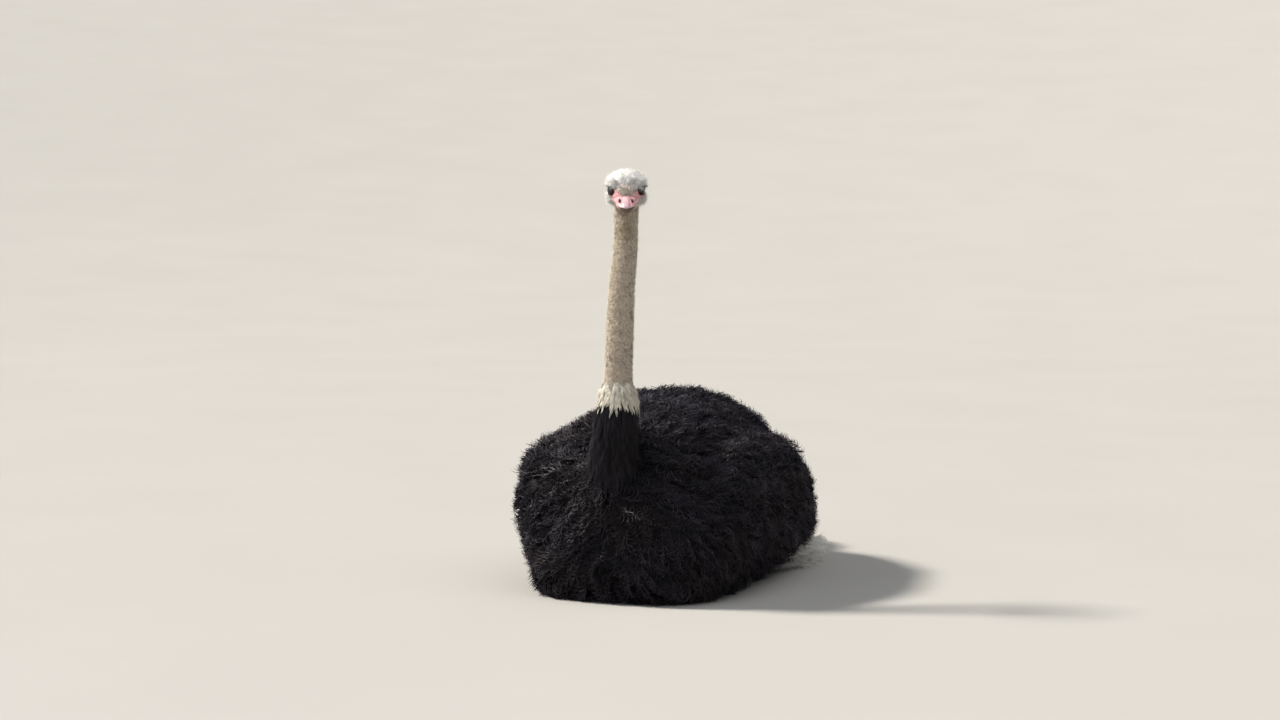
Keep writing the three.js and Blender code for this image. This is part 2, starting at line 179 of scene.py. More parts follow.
key = bpy.data.lights.new("key", "SUN")
key.angle = KEY_SOFTNESS
aimed("key", key, tuple(np.add(LIT_POINT, KEY_WAY)), KEY_STRENGTH, 0xFFF9F0)
fill = bpy.data.lights.new("fill", "AREA")
fill.shape, fill.size = "SQUARE", FILL_SIZE
aimed("fill", fill, FILL_PLACE, FILL_POWER, 0xEDF2FF)
top = bpy.data.lights.new("top", "SUN")
top.angle = TOP_SOFTNESS
aimed("top", top, tuple(np.add(LIT_POINT, TOP_WAY)), TOP_STRENGTH, 0xFFFFFF)
world = bpy.data.worlds.new("studio")
bpy.context.scene.world = world
world.use_nodes = True
world.node_tree.nodes["Background"].inputs["Color"].default_value = linear(0xEAF0FA)
world.node_tree.nodes["Background"].inputs["Strength"].default_value = SKY_STRENGTH

lens = bpy.data.cameras.new("camera")
lens.lens, lens.sensor_width, lens.clip_end = CAMERA_LENS, 36.0, 100.0
camera = shown("camera", lens)
camera.location = CAMERA_PLACE
camera.rotation_euler = (0.5 * pi - CAMERA_BELOW_LEVEL, 0, CAMERA_ROUND)
bpy.context.scene.camera = camera
bpy.context.scene.view_settings.view_transform = "Standard"


# ---- Skin: the bird's whole hide in one piece, bare on the legs and round the bill ----
# A real ostrich's skin is thin, loose and dry: pinkish grey on the neck, pink round the bill, and set with
# horny scutes down the legs. Under the black plumage it is painted near-black, as painted shade in the gaps
# between the plumes. It lies inside the feathers by their depth.

BREAST_Y, RUMP_Y = -0.575, 0.625
TRUNK_HALF = 0.322
BACK_HEIGHT = 0.545
BELOW = 0.060  # how far the unflattened belly would reach under the floor
WING_FRONT_Y, WING_BACK_Y = -0.480, 0.530
WING_REACH = 0.366
MIDDLE = np.array([0.0, 0.0, 0.20])
WELL_OUTSIDE = 1.2  # further from the middle than any point of the body
HALVINGS = 22
SIDES = {1: "left", -1: "right"}
TO_FRAME = np.array([0.0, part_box("trunk")[0].y - BREAST_Y, 0.0])
BODY_COAT = 0.026  # depth of the coat on the body
FLOOR_CLEAR = 0.012  # how high the belly's skin lies, with the coat under it
SKIN_OVER_FLOOR = 0.0008  # the lowest that the skin of the legs lies
NECK_ROWS = [  # height; the neck's middle across and along the body; half its width and half its depth
    (0.300, 0.000, -0.400, 0.084, 0.092),
    (0.390, 0.004, -0.492, 0.075, 0.081),
    (0.490, 0.015, -0.538, 0.062, 0.066),
    (0.556, 0.022, -0.544, 0.0575, 0.0595),
    (0.622, 0.0225, -0.542, 0.0435, 0.046),
    (0.700, 0.023, -0.536, 0.0415, 0.044),
    (0.850, 0.024, -0.520, 0.039, 0.0415),
    (0.980, 0.032, -0.507, 0.036, 0.038),
    (1.040, 0.028, -0.494, 0.0355, 0.038),
    (1.085, 0.029, -0.487, 0.035, 0.038),
    (1.125, 0.031, -0.478, 0.035, 0.038),
]
FOOT_TOP = 0.485  # height at which the neck's foot ends in the body's outline
FOOT_ROUND = 0.10


def unit(vectors):
    """Vectors divided by their lengths."""
    return vectors / np.maximum(np.linalg.norm(vectors, axis=-1, keepdims=True), 1e-12)


def read_rows(rows, t):
    """The values at t of a table of rows (t, a, b, ...), one array each: a cubic between neighbouring rows,
    with the slope at each row that of the line through the rows on its two sides."""
    table = np.array(rows, float)
    t = np.asarray(t, float)
    keys, values = table[:, 0], table[:, 1:]
    after = np.minimum(np.arange(len(keys)) + 1, len(keys) - 1)
    before = np.maximum(np.arange(len(keys)) - 1, 0)
    slopes = (values[after] - values[before]) / (keys[after] - keys[before])[:, None]
    i = np.clip(np.searchsorted(keys, t, side="right") - 1, 0, len(keys) - 2)
    span = (keys[i + 1] - keys[i])[..., None]
    s = np.clip((t - keys[i])[..., None] / span, 0, 1)
    rise = s * s * (3 - 2 * s)
    bend = s * (1 - s) * span * ((1 - s) * slopes[i] - s * slopes[i + 1])
    return np.moveaxis(values[i] + (values[i + 1] - values[i]) * rise + bend, -1, 0)


def dome(t, front, back):
    """How much of its section a closed form keeps at t, so that its ends are round: a quarter circle over a
    share of the length at each end."""

    def at(share, length):
        """The height of a quarter circle over this length, at a share from its foot."""
        return np.sqrt(np.clip(1 - (1 - np.minimum(share / length, 1)) ** 2, 0, 1))

    keep = at(np.clip(t, 0, 1), front) if front else 1.0
    return keep * (at(np.clip(1 - t, 0, 1), back) if back else 1.0)


def within_trunk(p):
    """A point's place in the trunk's section, under 1 inside: a slightly square oval, squarer
    underneath."""
    t = (p[..., 1] - BREAST_Y) / (RUMP_Y - BREAST_Y)
    half, widest, top = read_rows(
        [
            (-0.575, 0.80, 0.200, 0.82),
            (-0.440, 0.90, 0.200, 0.91),
            (-0.250, 1.00, 0.195, 0.98),
            (0.000, 1.00, 0.180, 1.00),
            (0.200, 0.99, 0.165, 0.965),
            (0.400, 0.90, 0.150, 0.82),
            (0.625, 0.70, 0.160, 0.56),
        ],
        p[..., 1],
    )
    keep = np.maximum(dome(t, 0.13, 0.3), 1e-6)
    up = p[..., 2] - widest
    reach = np.where(up > 0, top * BACK_HEIGHT - widest, widest + BELOW)
    power = np.where(up > 0, 2.1, 3.0)
    return (np.abs(p[..., 0]) / (half * TRUNK_HALF * keep)) ** power + (np.abs(up) / (reach * keep)) ** power


def within_wing(p):
    """A point's place in the section of the folded wing on its side, under 1 inside: an upright oval."""
    t = (p[..., 1] - WING_FRONT_Y) / (WING_BACK_Y - WING_FRONT_Y)
    tuck, thick, height, up, down = read_rows(
        [
            (-0.480, 0.022, 0.092, 0.258, 0.140, 0.170),
            (-0.330, 0.014, 0.086, 0.256, 0.166, 0.200),
            (-0.100, 0.002, 0.086, 0.244, 0.194, 0.202),
            (0.150, 0.000, 0.088, 0.202, 0.202, 0.180),
            (0.350, 0.010, 0.088, 0.152, 0.174, 0.132),
            (0.530, 0.022, 0.092, 0.118, 0.116, 0.100),
        ],
        p[..., 1],
    )
    keep = np.maximum(dome(t, 0.2, 0.3), 1e-6)
    out = (np.abs(p[..., 0]) - (WING_REACH - tuck - thick)) / (thick * keep)
    rise = (p[..., 2] - height) / (np.where(p[..., 2] > height, up, down) * keep)
    return np.abs(out) ** 2.3 + np.abs(rise) ** 2.3


def within_neck_foot(p):
    """A point's place in the foot of the neck, under 1 inside: the neck's own section, rounded off at its
    top."""
    x, y, half, deep = read_rows(NECK_ROWS, p[..., 2])
    rise = np.clip((p[..., 2] - FOOT_TOP + FOOT_ROUND) / FOOT_ROUND, 0, None)
    section = ((p[..., 0] - x) / half) ** 2 + ((p[..., 1] - y) / deep) ** 2 + rise**2
    return np.where(p[..., 2] > 0.2, section, 2.0)


def ways(u, v):
    """Directions from the body's middle: u once round level, v from straight down to straight up."""
    level = np.cos(pi * (v - 0.5))
    return np.stack([level * np.cos(2 * pi * u), level * np.sin(2 * pi * u), np.sin(pi * (v - 0.5))], -1)


def body_reaches(around, along):
    """How far the tips of the plumage are from the body's middle in each direction, found by halving
    between the middle and a point well outside: the furthest of the surfaces of the trunk, the folded wings
    and the neck's foot, then softened."""
    u, v = turn_grid(around, np.linspace(0, 1, along))
    way = ways(u, v)
    near, far = np.zeros(u.shape), np.full(u.shape, WELL_OUTSIDE)
    for _ in range(HALVINGS):
        half_way = (near + far) / 2
        p = MIDDLE + way * half_way[..., None]
        inside = (within_trunk(p) < 1) | (within_wing(p) < 1) | (within_neck_foot(p) < 1)
        near, far = np.where(inside, half_way, near), np.where(inside, far, half_way)
    for _ in range(3):
        near = (np.roll(near, 1, 0) + 2 * near + np.roll(near, -1, 0)) / 4
        near[:, 1:-1] = (near[:, :-2] + 2 * near[:, 1:-1] + near[:, 2:]) / 4
    return near


def grid_normals(points, closed=True):
    """Outward normals of a grid of points that closes round its first direction."""
    around = np.roll(points, -1, 0) - np.roll(points, 1, 0)
    normals = unit(np.cross(around, np.gradient(points, axis=1)))
    if closed:
        normals[:, 0] = unit(normals[:, 1].mean(0))
        normals[:, -1] = unit(normals[:, -2].mean(0))
    outward = np.sum(normals * (points - points.mean((0, 1)))) > 0
    return normals if outward else -normals


def read_grid(grid, u, v):
    """A grid's value at u round and v along, weighed between its four nearest points."""
    around, along = grid.shape[:2]
    a, b = (u % 1) * around, np.clip(v, 0, 1) * (along - 1)
    i, j = np.floor(a).astype(int) % around, np.minimum(b.astype(int), along - 2)
    s, t = (a - np.floor(a))[..., None], (b - j)[..., None]
    k = (i + 1) % around
    low = grid[i, j] * (1 - s) + grid[k, j] * s
    return low * (1 - t) + (grid[i, j + 1] * (1 - s) + grid[k, j + 1] * s) * t


BODY_AROUND, BODY_ALONG = 300, 150
body_u, body_v = turn_grid(BODY_AROUND, np.linspace(0, 1, BODY_ALONG))
body_ways = ways(body_u, body_v)
body_reach = body_reaches(BODY_AROUND, BODY_ALONG)
body_outline = MIDDLE + body_ways * body_reach[..., None]
body_normals = grid_normals(body_outline)
body_slant = np.maximum(np.sum(body_ways * body_normals, -1), 0.35)
BODY = np.concatenate([body_normals, body_reach[..., None], body_slant[..., None]], -1)


def over_body(p):
    """What lies over points of the body: the way out from its middle, u, v, the outline's normal, its
    reach, and how squarely the way crosses it."""
    way = unit(p - MIDDLE)
    u = (np.arctan2(way[..., 1], way[..., 0]) / (2 * pi)) % 1
    v = 0.5 + np.arcsin(np.clip(way[..., 2], -1, 1)) / pi
    found = read_grid(BODY, u, v)
    return way, u, v, unit(found[..., :3]), found[..., 3], found[..., 4]


def body_point(way, reach, slant, depth):
    """The point at a depth under the outline, measured square to it."""
    return MIDDLE + way * (reach - depth / slant)[..., None]


def inside_out(points, quads):
    """Whether a closed form's faces point inwards: then its volume, summed from its middle, comes out
    negative."""
    a, b, c = (points[quads[:, k]] - points.mean(0) for k in range(3))
    return np.sum(a * np.cross(b, c)) < 0


def closed_form(name, points):
    """A closed object from a grid of points: its two end rings are drawn together to one point each."""
    around, along = points.shape[:2]
    verts = np.concatenate([points[:, 1:-1].reshape(-1, 3), [points[:, 0].mean(0), points[:, -1].mean(0)]])
    along -= 2
    quads = tube_faces(around, along)
    ring = np.arange(around) * along
    after = np.roll(ring, -1)
    low = np.stack([after, ring, np.full(around, around * along)], -1)
    high = np.stack([ring + along - 1, after + along - 1, np.full(around, around * along + 1)], -1)
    if inside_out(verts, quads):
        quads, low, high = quads[:, ::-1], low[:, ::-1], high[:, ::-1]
    mesh = bpy.data.meshes.new(name)
    fill_mesh(mesh, verts, quads, np.concatenate([low, high]))
    return shown(name, mesh)


def sway(p, length, seed):
    """Smooth noise of about unit size: the sum of six sine waves of this length in random directions."""
    rng = np.random.default_rng(seed)
    total = 0.0
    for _ in range(6):
        way = unit(rng.normal(size=3)) * (2 * pi / length) * rng.uniform(0.7, 1.4)
        total = total + np.sin(p @ way + rng.uniform(0, 2 * pi))
    return total / 2.4


SKIN_AROUND, SKIN_ALONG = 220, 120
skin_u, skin_v = turn_grid(SKIN_AROUND, np.linspace(0, 1, SKIN_ALONG))
way, _, _, normal, reach, slant = over_body(MIDDLE + ways(skin_u, skin_v))
body_skin = body_point(way, reach, slant, BODY_COAT)
low = body_skin[..., 2] < FLOOR_CLEAR
body_skin = np.where(
    low[..., None],
    MIDDLE + way * ((MIDDLE[2] - FLOOR_CLEAR) / np.maximum(-way[..., 2], 1e-3))[..., None],
    body_skin,
)

NECK_COAT_ROWS = [  # height; depth of the coat
    (0.30, 0.018),
    (0.52, 0.016),
    (0.57, 0.013),
    (0.64, 0.0075),
    (0.90, 0.0065),
    (1.12, 0.006),
]
COLLAR_TOP = 0.622
HEAD_FRONT, HEAD_LENGTH = -0.062, 0.136
HEAD_TURN = radians(18)
HEAD_DIP = radians(10)
HEAD_PLACE = np.array([0.041, -0.528, 1.131])
HEAD_AXES = np.array(
    [
        [cos(HEAD_TURN), -sin(HEAD_TURN) * cos(HEAD_DIP), sin(HEAD_TURN) * sin(HEAD_DIP)],
        [sin(HEAD_TURN), cos(HEAD_TURN) * cos(HEAD_DIP), -cos(HEAD_TURN) * sin(HEAD_DIP)],
        [0.0, sin(HEAD_DIP), cos(HEAD_DIP)],
    ]
)
EYE_RADIUS = 0.0225
EYE_OUT = 0.0280
EYE_FORWARD = 0.005
EYE_BELOW = 0.003
EYE_TOE = radians(18)
LID_AROUND, LID_ROUND = 132, 30
NECK_TURN_TOP = 1.085


def neck_frame(height):
    """The neck's middle at a height, the directions to its left and to its front, and its half width and
    depth. Its sections are square to its path, and turn with the head towards the top."""
    x, y, half, deep = read_rows(NECK_ROWS, height)
    ahead_x, ahead_y, _, _ = read_rows(NECK_ROWS, height + 0.002)
    along = unit(np.stack([ahead_x - x, ahead_y - y, np.full(x.shape, 0.002)], -1))
    share = np.clip((height - COLLAR_TOP) / (NECK_TURN_TOP - COLLAR_TOP), 0, 1)
    turn = HEAD_TURN * share * share * (3 - 2 * share)
    wide = np.stack([np.cos(turn), np.sin(turn), np.zeros(turn.shape)], -1)
    wide = unit(wide - along * np.sum(wide * along, -1, keepdims=True))
    return np.stack([x, y, height], -1), wide, np.cross(wide, along), half, deep


def neck_point(u, height, inset):
    """A point of the neck's outline less the inset: an oval round its path, u from its left side by the
    front."""
    centre, wide, front, half, deep = neck_frame(height)
    angle = 2 * pi * u
    out = (half - inset)[..., None] * wide * np.cos(angle)[..., None]
    return centre + out + (deep - inset)[..., None] * front * np.sin(angle)[..., None]


def from_head(p):
    """Points of the head's own frame, its origin midway between the eyes, in the bird's frame."""
    return p @ HEAD_AXES.T + HEAD_PLACE


def to_head(p):
    """Points of the bird's frame in the head's own."""
    return (p - HEAD_PLACE) @ HEAD_AXES


def hump(p, centre, size, height):
    """A soft round rise, or a pit where the height is negative: a bell curve of the distance."""
    away = np.sum(((p - np.array(centre)) / np.array(size)) ** 2, -1)
    return height * np.exp(-away)


def mirrored(p):
    """Points with both halves of the head folded onto its left half."""
    return np.concatenate([np.abs(p[..., :1]), p[..., 1:]], -1)


def squared(angle, power):
    """How far a squared oval reaches at an angle: the sum of its two sides' powers stays one, and 2 is
    round."""
    return (np.abs(np.cos(angle)) ** power + np.abs(np.sin(angle)) ** power) ** (-1 / power)


def head_shape(u, v):
    """The bare head in its own frame: slightly square ovals across it from the bill's root back to the
    nape."""
    y = HEAD_FRONT + HEAD_LENGTH * v
    half, centre, top, low = read_rows(
        [
            (-0.062, 0.026, -0.020, 0.002, -0.040),
            (-0.045, 0.031, -0.014, 0.015, -0.042),
            (-0.025, 0.037, -0.006, 0.028, -0.044),
            (0.000, 0.041, 0.000, 0.036, -0.046),
            (0.025, 0.041, 0.001, 0.038, -0.050),
            (0.050, 0.037, -0.004, 0.033, -0.056),
            (0.074, 0.029, -0.012, 0.022, -0.056),
        ],
        y,
    )
    keep = dome(v, 0.30, 0.42)
    angle = 2 * pi * u
    upper = np.sin(angle) >= 0
    box = squared(angle, np.where(upper, 2.3, 2.6))
    reach = np.where(upper, top - centre, centre - low)
    return np.stack([half * keep * box * np.cos(angle), y, centre + reach * keep * box * np.sin(angle)], -1)


def head_relief(p):
    """How far the head's skin stands out at each point: brow ridges over sunken orbits, a cheek over the
    jaw joint, the rimmed ear opening, the crease that runs back from the gape, and fine folds under the
    eye."""
    q = mirrored(p)
    out = hump(q, (0.040, -0.007, 0.001), (0.030, 0.0135, 0.0115), -0.0065)
    out += hump(q, (0.036, -0.012, 0.019), (0.020, 0.018, 0.0055), 0.0032)
    out += hump(q, (0.036, 0.004, -0.034), (0.020, 0.016, 0.012), 0.0026)
    out += hump(q, (0.040, 0.034, -0.012), (0.020, 0.0075, 0.0075), 0.0018)
    out += hump(q, (0.040, 0.034, -0.012), (0.020, 0.0042, 0.0042), -0.0055)
    gape = -0.031 - 0.10 * (q[..., 1] + 0.060)
    near_gape = np.clip((0.004 - q[..., 1]) / 0.012, 0, 1)
    out -= 0.0022 * np.exp(-(((q[..., 2] - gape) / 0.0016) ** 2)) * near_gape
    out += 0.0012 * np.exp(-(((q[..., 2] - gape - 0.0042) / 0.0030) ** 2)) * near_gape
    folds = np.exp(-(((q[..., 1] + 0.010) / 0.018) ** 2) - ((q[..., 2] + 0.019) / 0.006) ** 2)
    out += 0.00045 * folds * np.sin(2 * pi * (q[..., 2] + 0.25 * q[..., 1]) / 0.0034)
    return out + 0.0003 * sway(p, 0.009, 41)


def eye_frame(side):
    """An eyeball's middle, the way it looks, and the directions up and towards the bill, in the head's
    frame."""
    middle = np.array([side * EYE_OUT, -EYE_FORWARD, -EYE_BELOW])
    look = unit(np.array([side * cos(EYE_TOE), -sin(EYE_TOE), 0.03]))
    up = unit(np.array([0.0, 0.0, 1.0]) - look * look[2])
    return middle, look, up, np.cross(look, up) * side


def round_eye(side, angle, away):
    """Directions from an eyeball's middle: turned away from the way it looks, towards the angle round it that
    starts at the bill and goes by the brow."""
    _, look, up, front = eye_frame(side)
    ring = front * np.cos(angle)[..., None] + up * np.sin(angle)[..., None]
    return look * np.cos(away)[..., None] + ring * np.sin(away)[..., None]


def lid_opening(angle):
    """How far from the eye's axis its lids open, by the angle from the bill round by the brow: an oval with
    its two corners drawn out, a little lower under the brow."""
    wide, high = radians(50), np.where(np.sin(angle) > 0, radians(24), radians(27))
    return ((np.abs(np.cos(angle)) / wide) ** 1.75 + (np.abs(np.sin(angle)) / high) ** 1.75) ** (-1 / 1.75)


def lids(side):
    """The ring of both lids, closed on itself: it starts at the opening with a round edge, lies on the
    eyeball, and runs under the face. The upper lid is thicker and has a crease."""
    angle, w = turn_grid(LID_AROUND, 2 * pi * np.arange(LID_ROUND) / LID_ROUND, 2 * pi)
    upper = np.clip(np.sin(angle), 0, 1) ** 0.7
    out = (1 - np.cos(w)) / 2
    away = lid_opening(angle) + radians(36) * out
    crease = -0.0010 * np.exp(-(((out - 0.30) / 0.05) ** 2)) * (0.35 + 0.65 * upper)
    wrinkle = 0.00018 * np.sin(26 * angle + 5 * np.sin(2 * angle)) * np.sin(pi * out)
    outside = (0.0017 + 0.0014 * upper) * np.clip(np.sin(w), 0, 1) ** 0.75 + crease + wrinkle
    far = EYE_RADIUS + 0.0004 + np.where(np.sin(w) > 0, outside, 0.002 * np.sin(w))
    return eye_frame(side)[0] + far[..., None] * round_eye(side, angle, away)


def closed_ring(name, points):
    """A closed object from a grid that joins round both ways."""
    around, along = points.shape[:2]
    i, j = np.meshgrid(np.arange(around), np.arange(along), indexing="ij")
    k, m = (i + 1) % around, (j + 1) % along
    quads = np.stack([i * along + j, k * along + j, k * along + m, i * along + m], -1).reshape(-1, 4)
    verts = points.reshape(-1, 3)
    mesh = bpy.data.meshes.new(name)
    fill_mesh(mesh, verts, quads[:, ::-1] if inside_out(verts, quads) else quads)
    return shown(name, mesh)


def limb_points(side, path, sizes, around, along, front, back, relief=None):
    """A limb's surface: ovals square to a smooth path, half wide to its sides and deep up and down, round
    at its ends. The path's points are spread by their distances, sizes are rows of share, half width, half
    depth. The path is written for the left side, 1; the right side is -1."""
    path = np.array(path) * np.array([side, 1, 1])
    far = np.concatenate([[0], np.cumsum(np.linalg.norm(np.diff(path, axis=0), axis=1))])
    rows = np.concatenate([(far / far[-1])[:, None], path], 1)
    angle, t = turn_grid(around, (1 - np.cos(pi * np.linspace(0, 1, along))) / 2, 2 * pi)
    centre = np.stack(read_rows(rows, t), -1)
    ahead = np.stack(read_rows(rows, np.minimum(t + 0.01, 1)), -1)
    tangent = unit(ahead - np.stack(read_rows(rows, t - 0.01), -1))
    wide = unit(np.array([1.0, 0, 0]) - tangent * tangent[..., :1])
    half, deep = read_rows(sizes, t)
    keep = dome(t, front, back)
    swell = 1.0 if relief is None else 1 + relief(angle, t)
    x = (half * keep * swell * np.cos(angle))[..., None]
    made = centre + wide * x + np.cross(wide, tangent) * (deep * keep * swell * np.sin(angle))[..., None]
    made[..., 2] = np.maximum(made[..., 2], SKIN_OVER_FLOOR)
    return made


def scutes(count):
    """Horny plates across the top of a limb: each one swells and drops off at its far edge."""
    return lambda angle, t: 0.05 * ((t * count) % 1 - 0.5) * np.clip(np.sin(angle) * 2.5 + 0.6, 0, 1)


def joined(whole, *others):
    """Unites closed forms into the first one's mesh, so that it is a single closed hide."""
    for other in others:
        union = whole.modifiers.new("union", "BOOLEAN")
        union.operation, union.solver, union.object = "UNION", "MANIFOLD", other
        bpy.context.view_layer.update()
        merged = bpy.data.meshes.new_from_object(whole.evaluated_get(bpy.context.evaluated_depsgraph_get()))
        whole.modifiers.clear()
        old, whole.data = whole.data, merged
        bpy.data.meshes.remove(old)
        bpy.data.objects.remove(other)
    return whole


NECK_AROUND, NECK_ALONG = 84, 230
neck_u, neck_z = turn_grid(NECK_AROUND, np.linspace(0.305, 1.118, NECK_ALONG))
ripples = np.sin(2 * pi * neck_z / 0.021 + 1.4 * np.sin(2 * pi * neck_u) + 1.2 * np.sin(neck_z * 31))
wrinkles = 0.0007 * ripples * np.clip((neck_z - 0.6) / 0.05, 0, 1)
neck_skin = closed_form("neck", neck_point(neck_u, neck_z, read_rows(NECK_COAT_ROWS, neck_z)[0] + wrinkles))

HEAD_AROUND, HEAD_ALONG = 190, 150
head_u, head_v = turn_grid(HEAD_AROUND, (1 - np.cos(pi * np.linspace(0, 1, HEAD_ALONG))) / 2)
bare_head = head_shape(head_u, head_v)
bare_head = bare_head + grid_normals(bare_head) * head_relief(bare_head)[..., None]
head_skin = closed_form("head", from_head(bare_head))
eyelids = [closed_ring("lids", from_head(lids(side))) for side in SIDES]

LIMBS = {  # the folded legs: each part's path, and its sizes along it
    "shank": dict(
        path=[(0.150, -0.06, 0.190), (0.152, 0.110, 0.160), (0.147, 0.290, 0.108), (0.140, 0.428, 0.066)],
        sizes=[
            (0, 0.046, 0.046),
            (0.3, 0.048, 0.052),
            (0.62, 0.034, 0.036),
            (0.85, 0.024, 0.025),
            (1, 0.024, 0.023),
        ],
        around=28,
        along=60,
        front=0.18,
        back=0.08,
    ),
    "tarsus": dict(
        path=[
            (0.140, 0.450, 0.058),
            (0.140, 0.407, 0.037),
            (0.144, 0.312, 0.0275),
            (0.148, 0.102, 0.0265),
            (0.152, -0.040, 0.028),
        ],
        sizes=[
            (0, 0.034, 0.032),
            (0.1, 0.036, 0.037),
            (0.3, 0.025, 0.0285),
            (0.75, 0.023, 0.0275),
            (1, 0.030, 0.029),
        ],
        around=32,
        along=220,
        front=0.07,
        back=0.06,
        relief=scutes(38),
    ),
    "inner_toe": dict(
        path=[
            (0.147, -0.010, 0.0262),
            (0.143, -0.098, 0.023),
            (0.140, -0.168, 0.021),
            (0.138, -0.223, 0.019),
        ],
        sizes=[(0, 0.026, 0.028), (0.3, 0.0245, 0.0245), (0.6, 0.0265, 0.0245), (1, 0.0235, 0.0215)],
        around=32,
        along=120,
        front=0.10,
        back=0.14,
        relief=scutes(19),
    ),
    "outer_toe": dict(
        path=[(0.168, -0.010, 0.022), (0.194, -0.078, 0.0182), (0.210, -0.140, 0.0152)],
        sizes=[(0, 0.0145, 0.020), (0.5, 0.0155, 0.0185), (1, 0.0145, 0.0155)],
        around=28,
        along=80,
        front=0.2,
        back=0.2,
        relief=scutes(13),
    ),
}
leg_forms = [closed_form(name, limb_points(side, **limb)) for side in SIDES for name, limb in LIMBS.items()]
tail_stump = limb_points(
    side=1,
    path=[(0, 0.40, 0.235), (0, 0.50, 0.230), (0, 0.585, 0.205)],
    sizes=[(0, 0.07, 0.05), (1, 0.045, 0.03)],
    around=40,
    along=40,
    front=0.3,
    back=0.4,
)
skin = closed_form("skin", body_skin)
skin = joined(skin, neck_skin, head_skin, *eyelids, *leg_forms, closed_form("tail_stump", tail_stump))


def vertices_of(mesh):
    """A mesh's points as an array."""
    points = np.empty(len(mesh.vertices) * 3, np.float32)
    mesh.vertices.foreach_get("co", points)
    return points.reshape(-1, 3).astype(float)


def ease(mesh, points, shares, times):
    """Softens the seam where forms met: each point moves by its share towards the mean of its neighbours."""
    edges = np.empty(len(mesh.edges) * 2, np.int32)
    mesh.edges.foreach_get("vertices", edges)
    a, b = edges.reshape(-1, 2).T
    joins = np.maximum(np.bincount(a, minlength=len(points)) + np.bincount(b, minlength=len(points)), 1)
    for _ in range(times):
        total = np.zeros_like(points)
        np.add.at(total, a, points[b])
        np.add.at(total, b, points[a])
        points = points + (total / joins[:, None] - points) * shares[:, None]
    return points


# The seams are softened at the nape, under the chin and at the neck's root.
skin_points = vertices_of(skin.data)
in_head = to_head(skin_points)
nape = np.exp(-(((skin_points[:, 2] - 1.088) / 0.013) ** 2)) * np.clip((in_head[:, 1] + 0.012) / 0.02, 0, 1)
chin = np.exp(-(((in_head[:, 2] + 0.046) / 0.008) ** 2)) * (skin_points[:, 2] > 1.0)
NECK_ROOT = np.array([0.0, -0.47, 0.42])
neck_root = np.exp(-((np.linalg.norm(skin_points - NECK_ROOT, axis=1) / 0.08) ** 2))
skin_points = ease(skin.data, skin_points, np.clip(0.6 * (nape + chin) + 0.2 * neck_root, 0, 0.8), 30)
low = skin_points[:, 2] < SKIN_OVER_FLOOR
skin_points[low, 2] = SKIN_OVER_FLOOR


def pigment(colour):
    """A colour written as sRGB hex, as an array of linear red, green and blue."""
    return np.array(linear(colour)[:3])


def between(value, low, high):
    """0 below low, 1 above high, smooth between."""
    share = np.clip((value - low) / (high - low), 0, 1)
    return share * share * (3 - 2 * share)


def from_eye(q):
    """The distance from the middle of the nearer eye's opening, as seen from the side, by an oval measure
    that is longer along the head."""
    return np.hypot((q[..., 1] + 0.014) / 1.25, (q[..., 2] + EYE_BELOW) / 0.78)


def bare_face(q):
    """1 on the pink skin that runs from eye to eye over the bill's root, 0 outside: its upper edge dips to
    a point on the ridge of the bill, and it ends under the middle of each eye."""
    top = -0.013 + 0.016 * between(np.abs(q[..., 0]), 0.002, 0.028) + 0.0012 * sway(q, 0.008, 51)
    back = between(-q[..., 1] - 0.8 * np.abs(q[..., 2] + 0.022), 0.000, 0.009)
    return back * between(top - q[..., 2], -0.002, 0.002)


def markings(p, colours):
    """The bird's colouring at points, one layer over another: the body, the white collar, the neck, the
    ochre throat under the bill, the crown, the grey face, the lids, dark in their own skin and darker still
    with painted shade under the brow, and the pink round the bill."""
    q = to_head(p)
    near_head = between(p[..., 2], 1.075, 1.10) * (p[..., 1] < -0.3)
    layers = [
        ("collar", between(p[..., 2], 0.552, 0.560)),
        ("neck", between(p[..., 2], 0.600, 0.614)),
        ("throat", between(p[..., 2], 0.98, 1.05) * between(-q[..., 1], 0.004, 0.026)),
        ("crown", near_head * between(q[..., 2], -0.062, -0.045)),
        ("face", near_head * between(-q[..., 1] - 0.55 * q[..., 2], 0.024, 0.046)),
        # The lids' dark is partly their own skin and partly painted shade under the overhanging brow.
        ("lid", near_head * between(-from_eye(q), -0.0215, -0.0190)),
        ("pink", near_head * bare_face(q) * between(from_eye(q), 0.0165, 0.0180)),
    ]
    tint = np.broadcast_to(pigment(colours["body"]), p.shape)
    for name, weight in layers:
        tint = tint + (pigment(colours[name]) - tint) * weight[..., None]
    return tint


def paint(mesh, colours):
    """Gives each point of a mesh its colour, which its material reads as the marking."""
    marking = np.ones((*colours.shape[:-1], 4), np.float32)
    marking[..., :3] = colours
    mesh.attributes.new("marking", "FLOAT_COLOR", "POINT").data.foreach_set("color", marking.ravel())


def mottled(tree, shader, size, detail, low, high):
    """Gives the shader the marking's colour, made lighter and darker in clouds of this size in metres.
    Returns the place that its patterns read and the mottled colour."""
    marking = add(tree, "Attribute", attribute_name="marking").outputs["Color"]
    place = add(tree, "TexCoord").outputs["Object"]
    clouds = add(tree, "TexNoise", {"Vector": place, "Scale": 1 / size, "Detail": detail}).outputs["Fac"]
    limits = {"From Min": 0.3, "From Max": 0.7, "To Min": low, "To Max": high}
    amount = add(tree, "MapRange", {"Value": clouds, **limits}).outputs["Result"]
    shade = add(tree, "VectorMath", {0: marking, "Scale": amount}, operation="SCALE").outputs["Vector"]
    tree.links.new(shade, shader.inputs["Base Color"])
    return place, shade


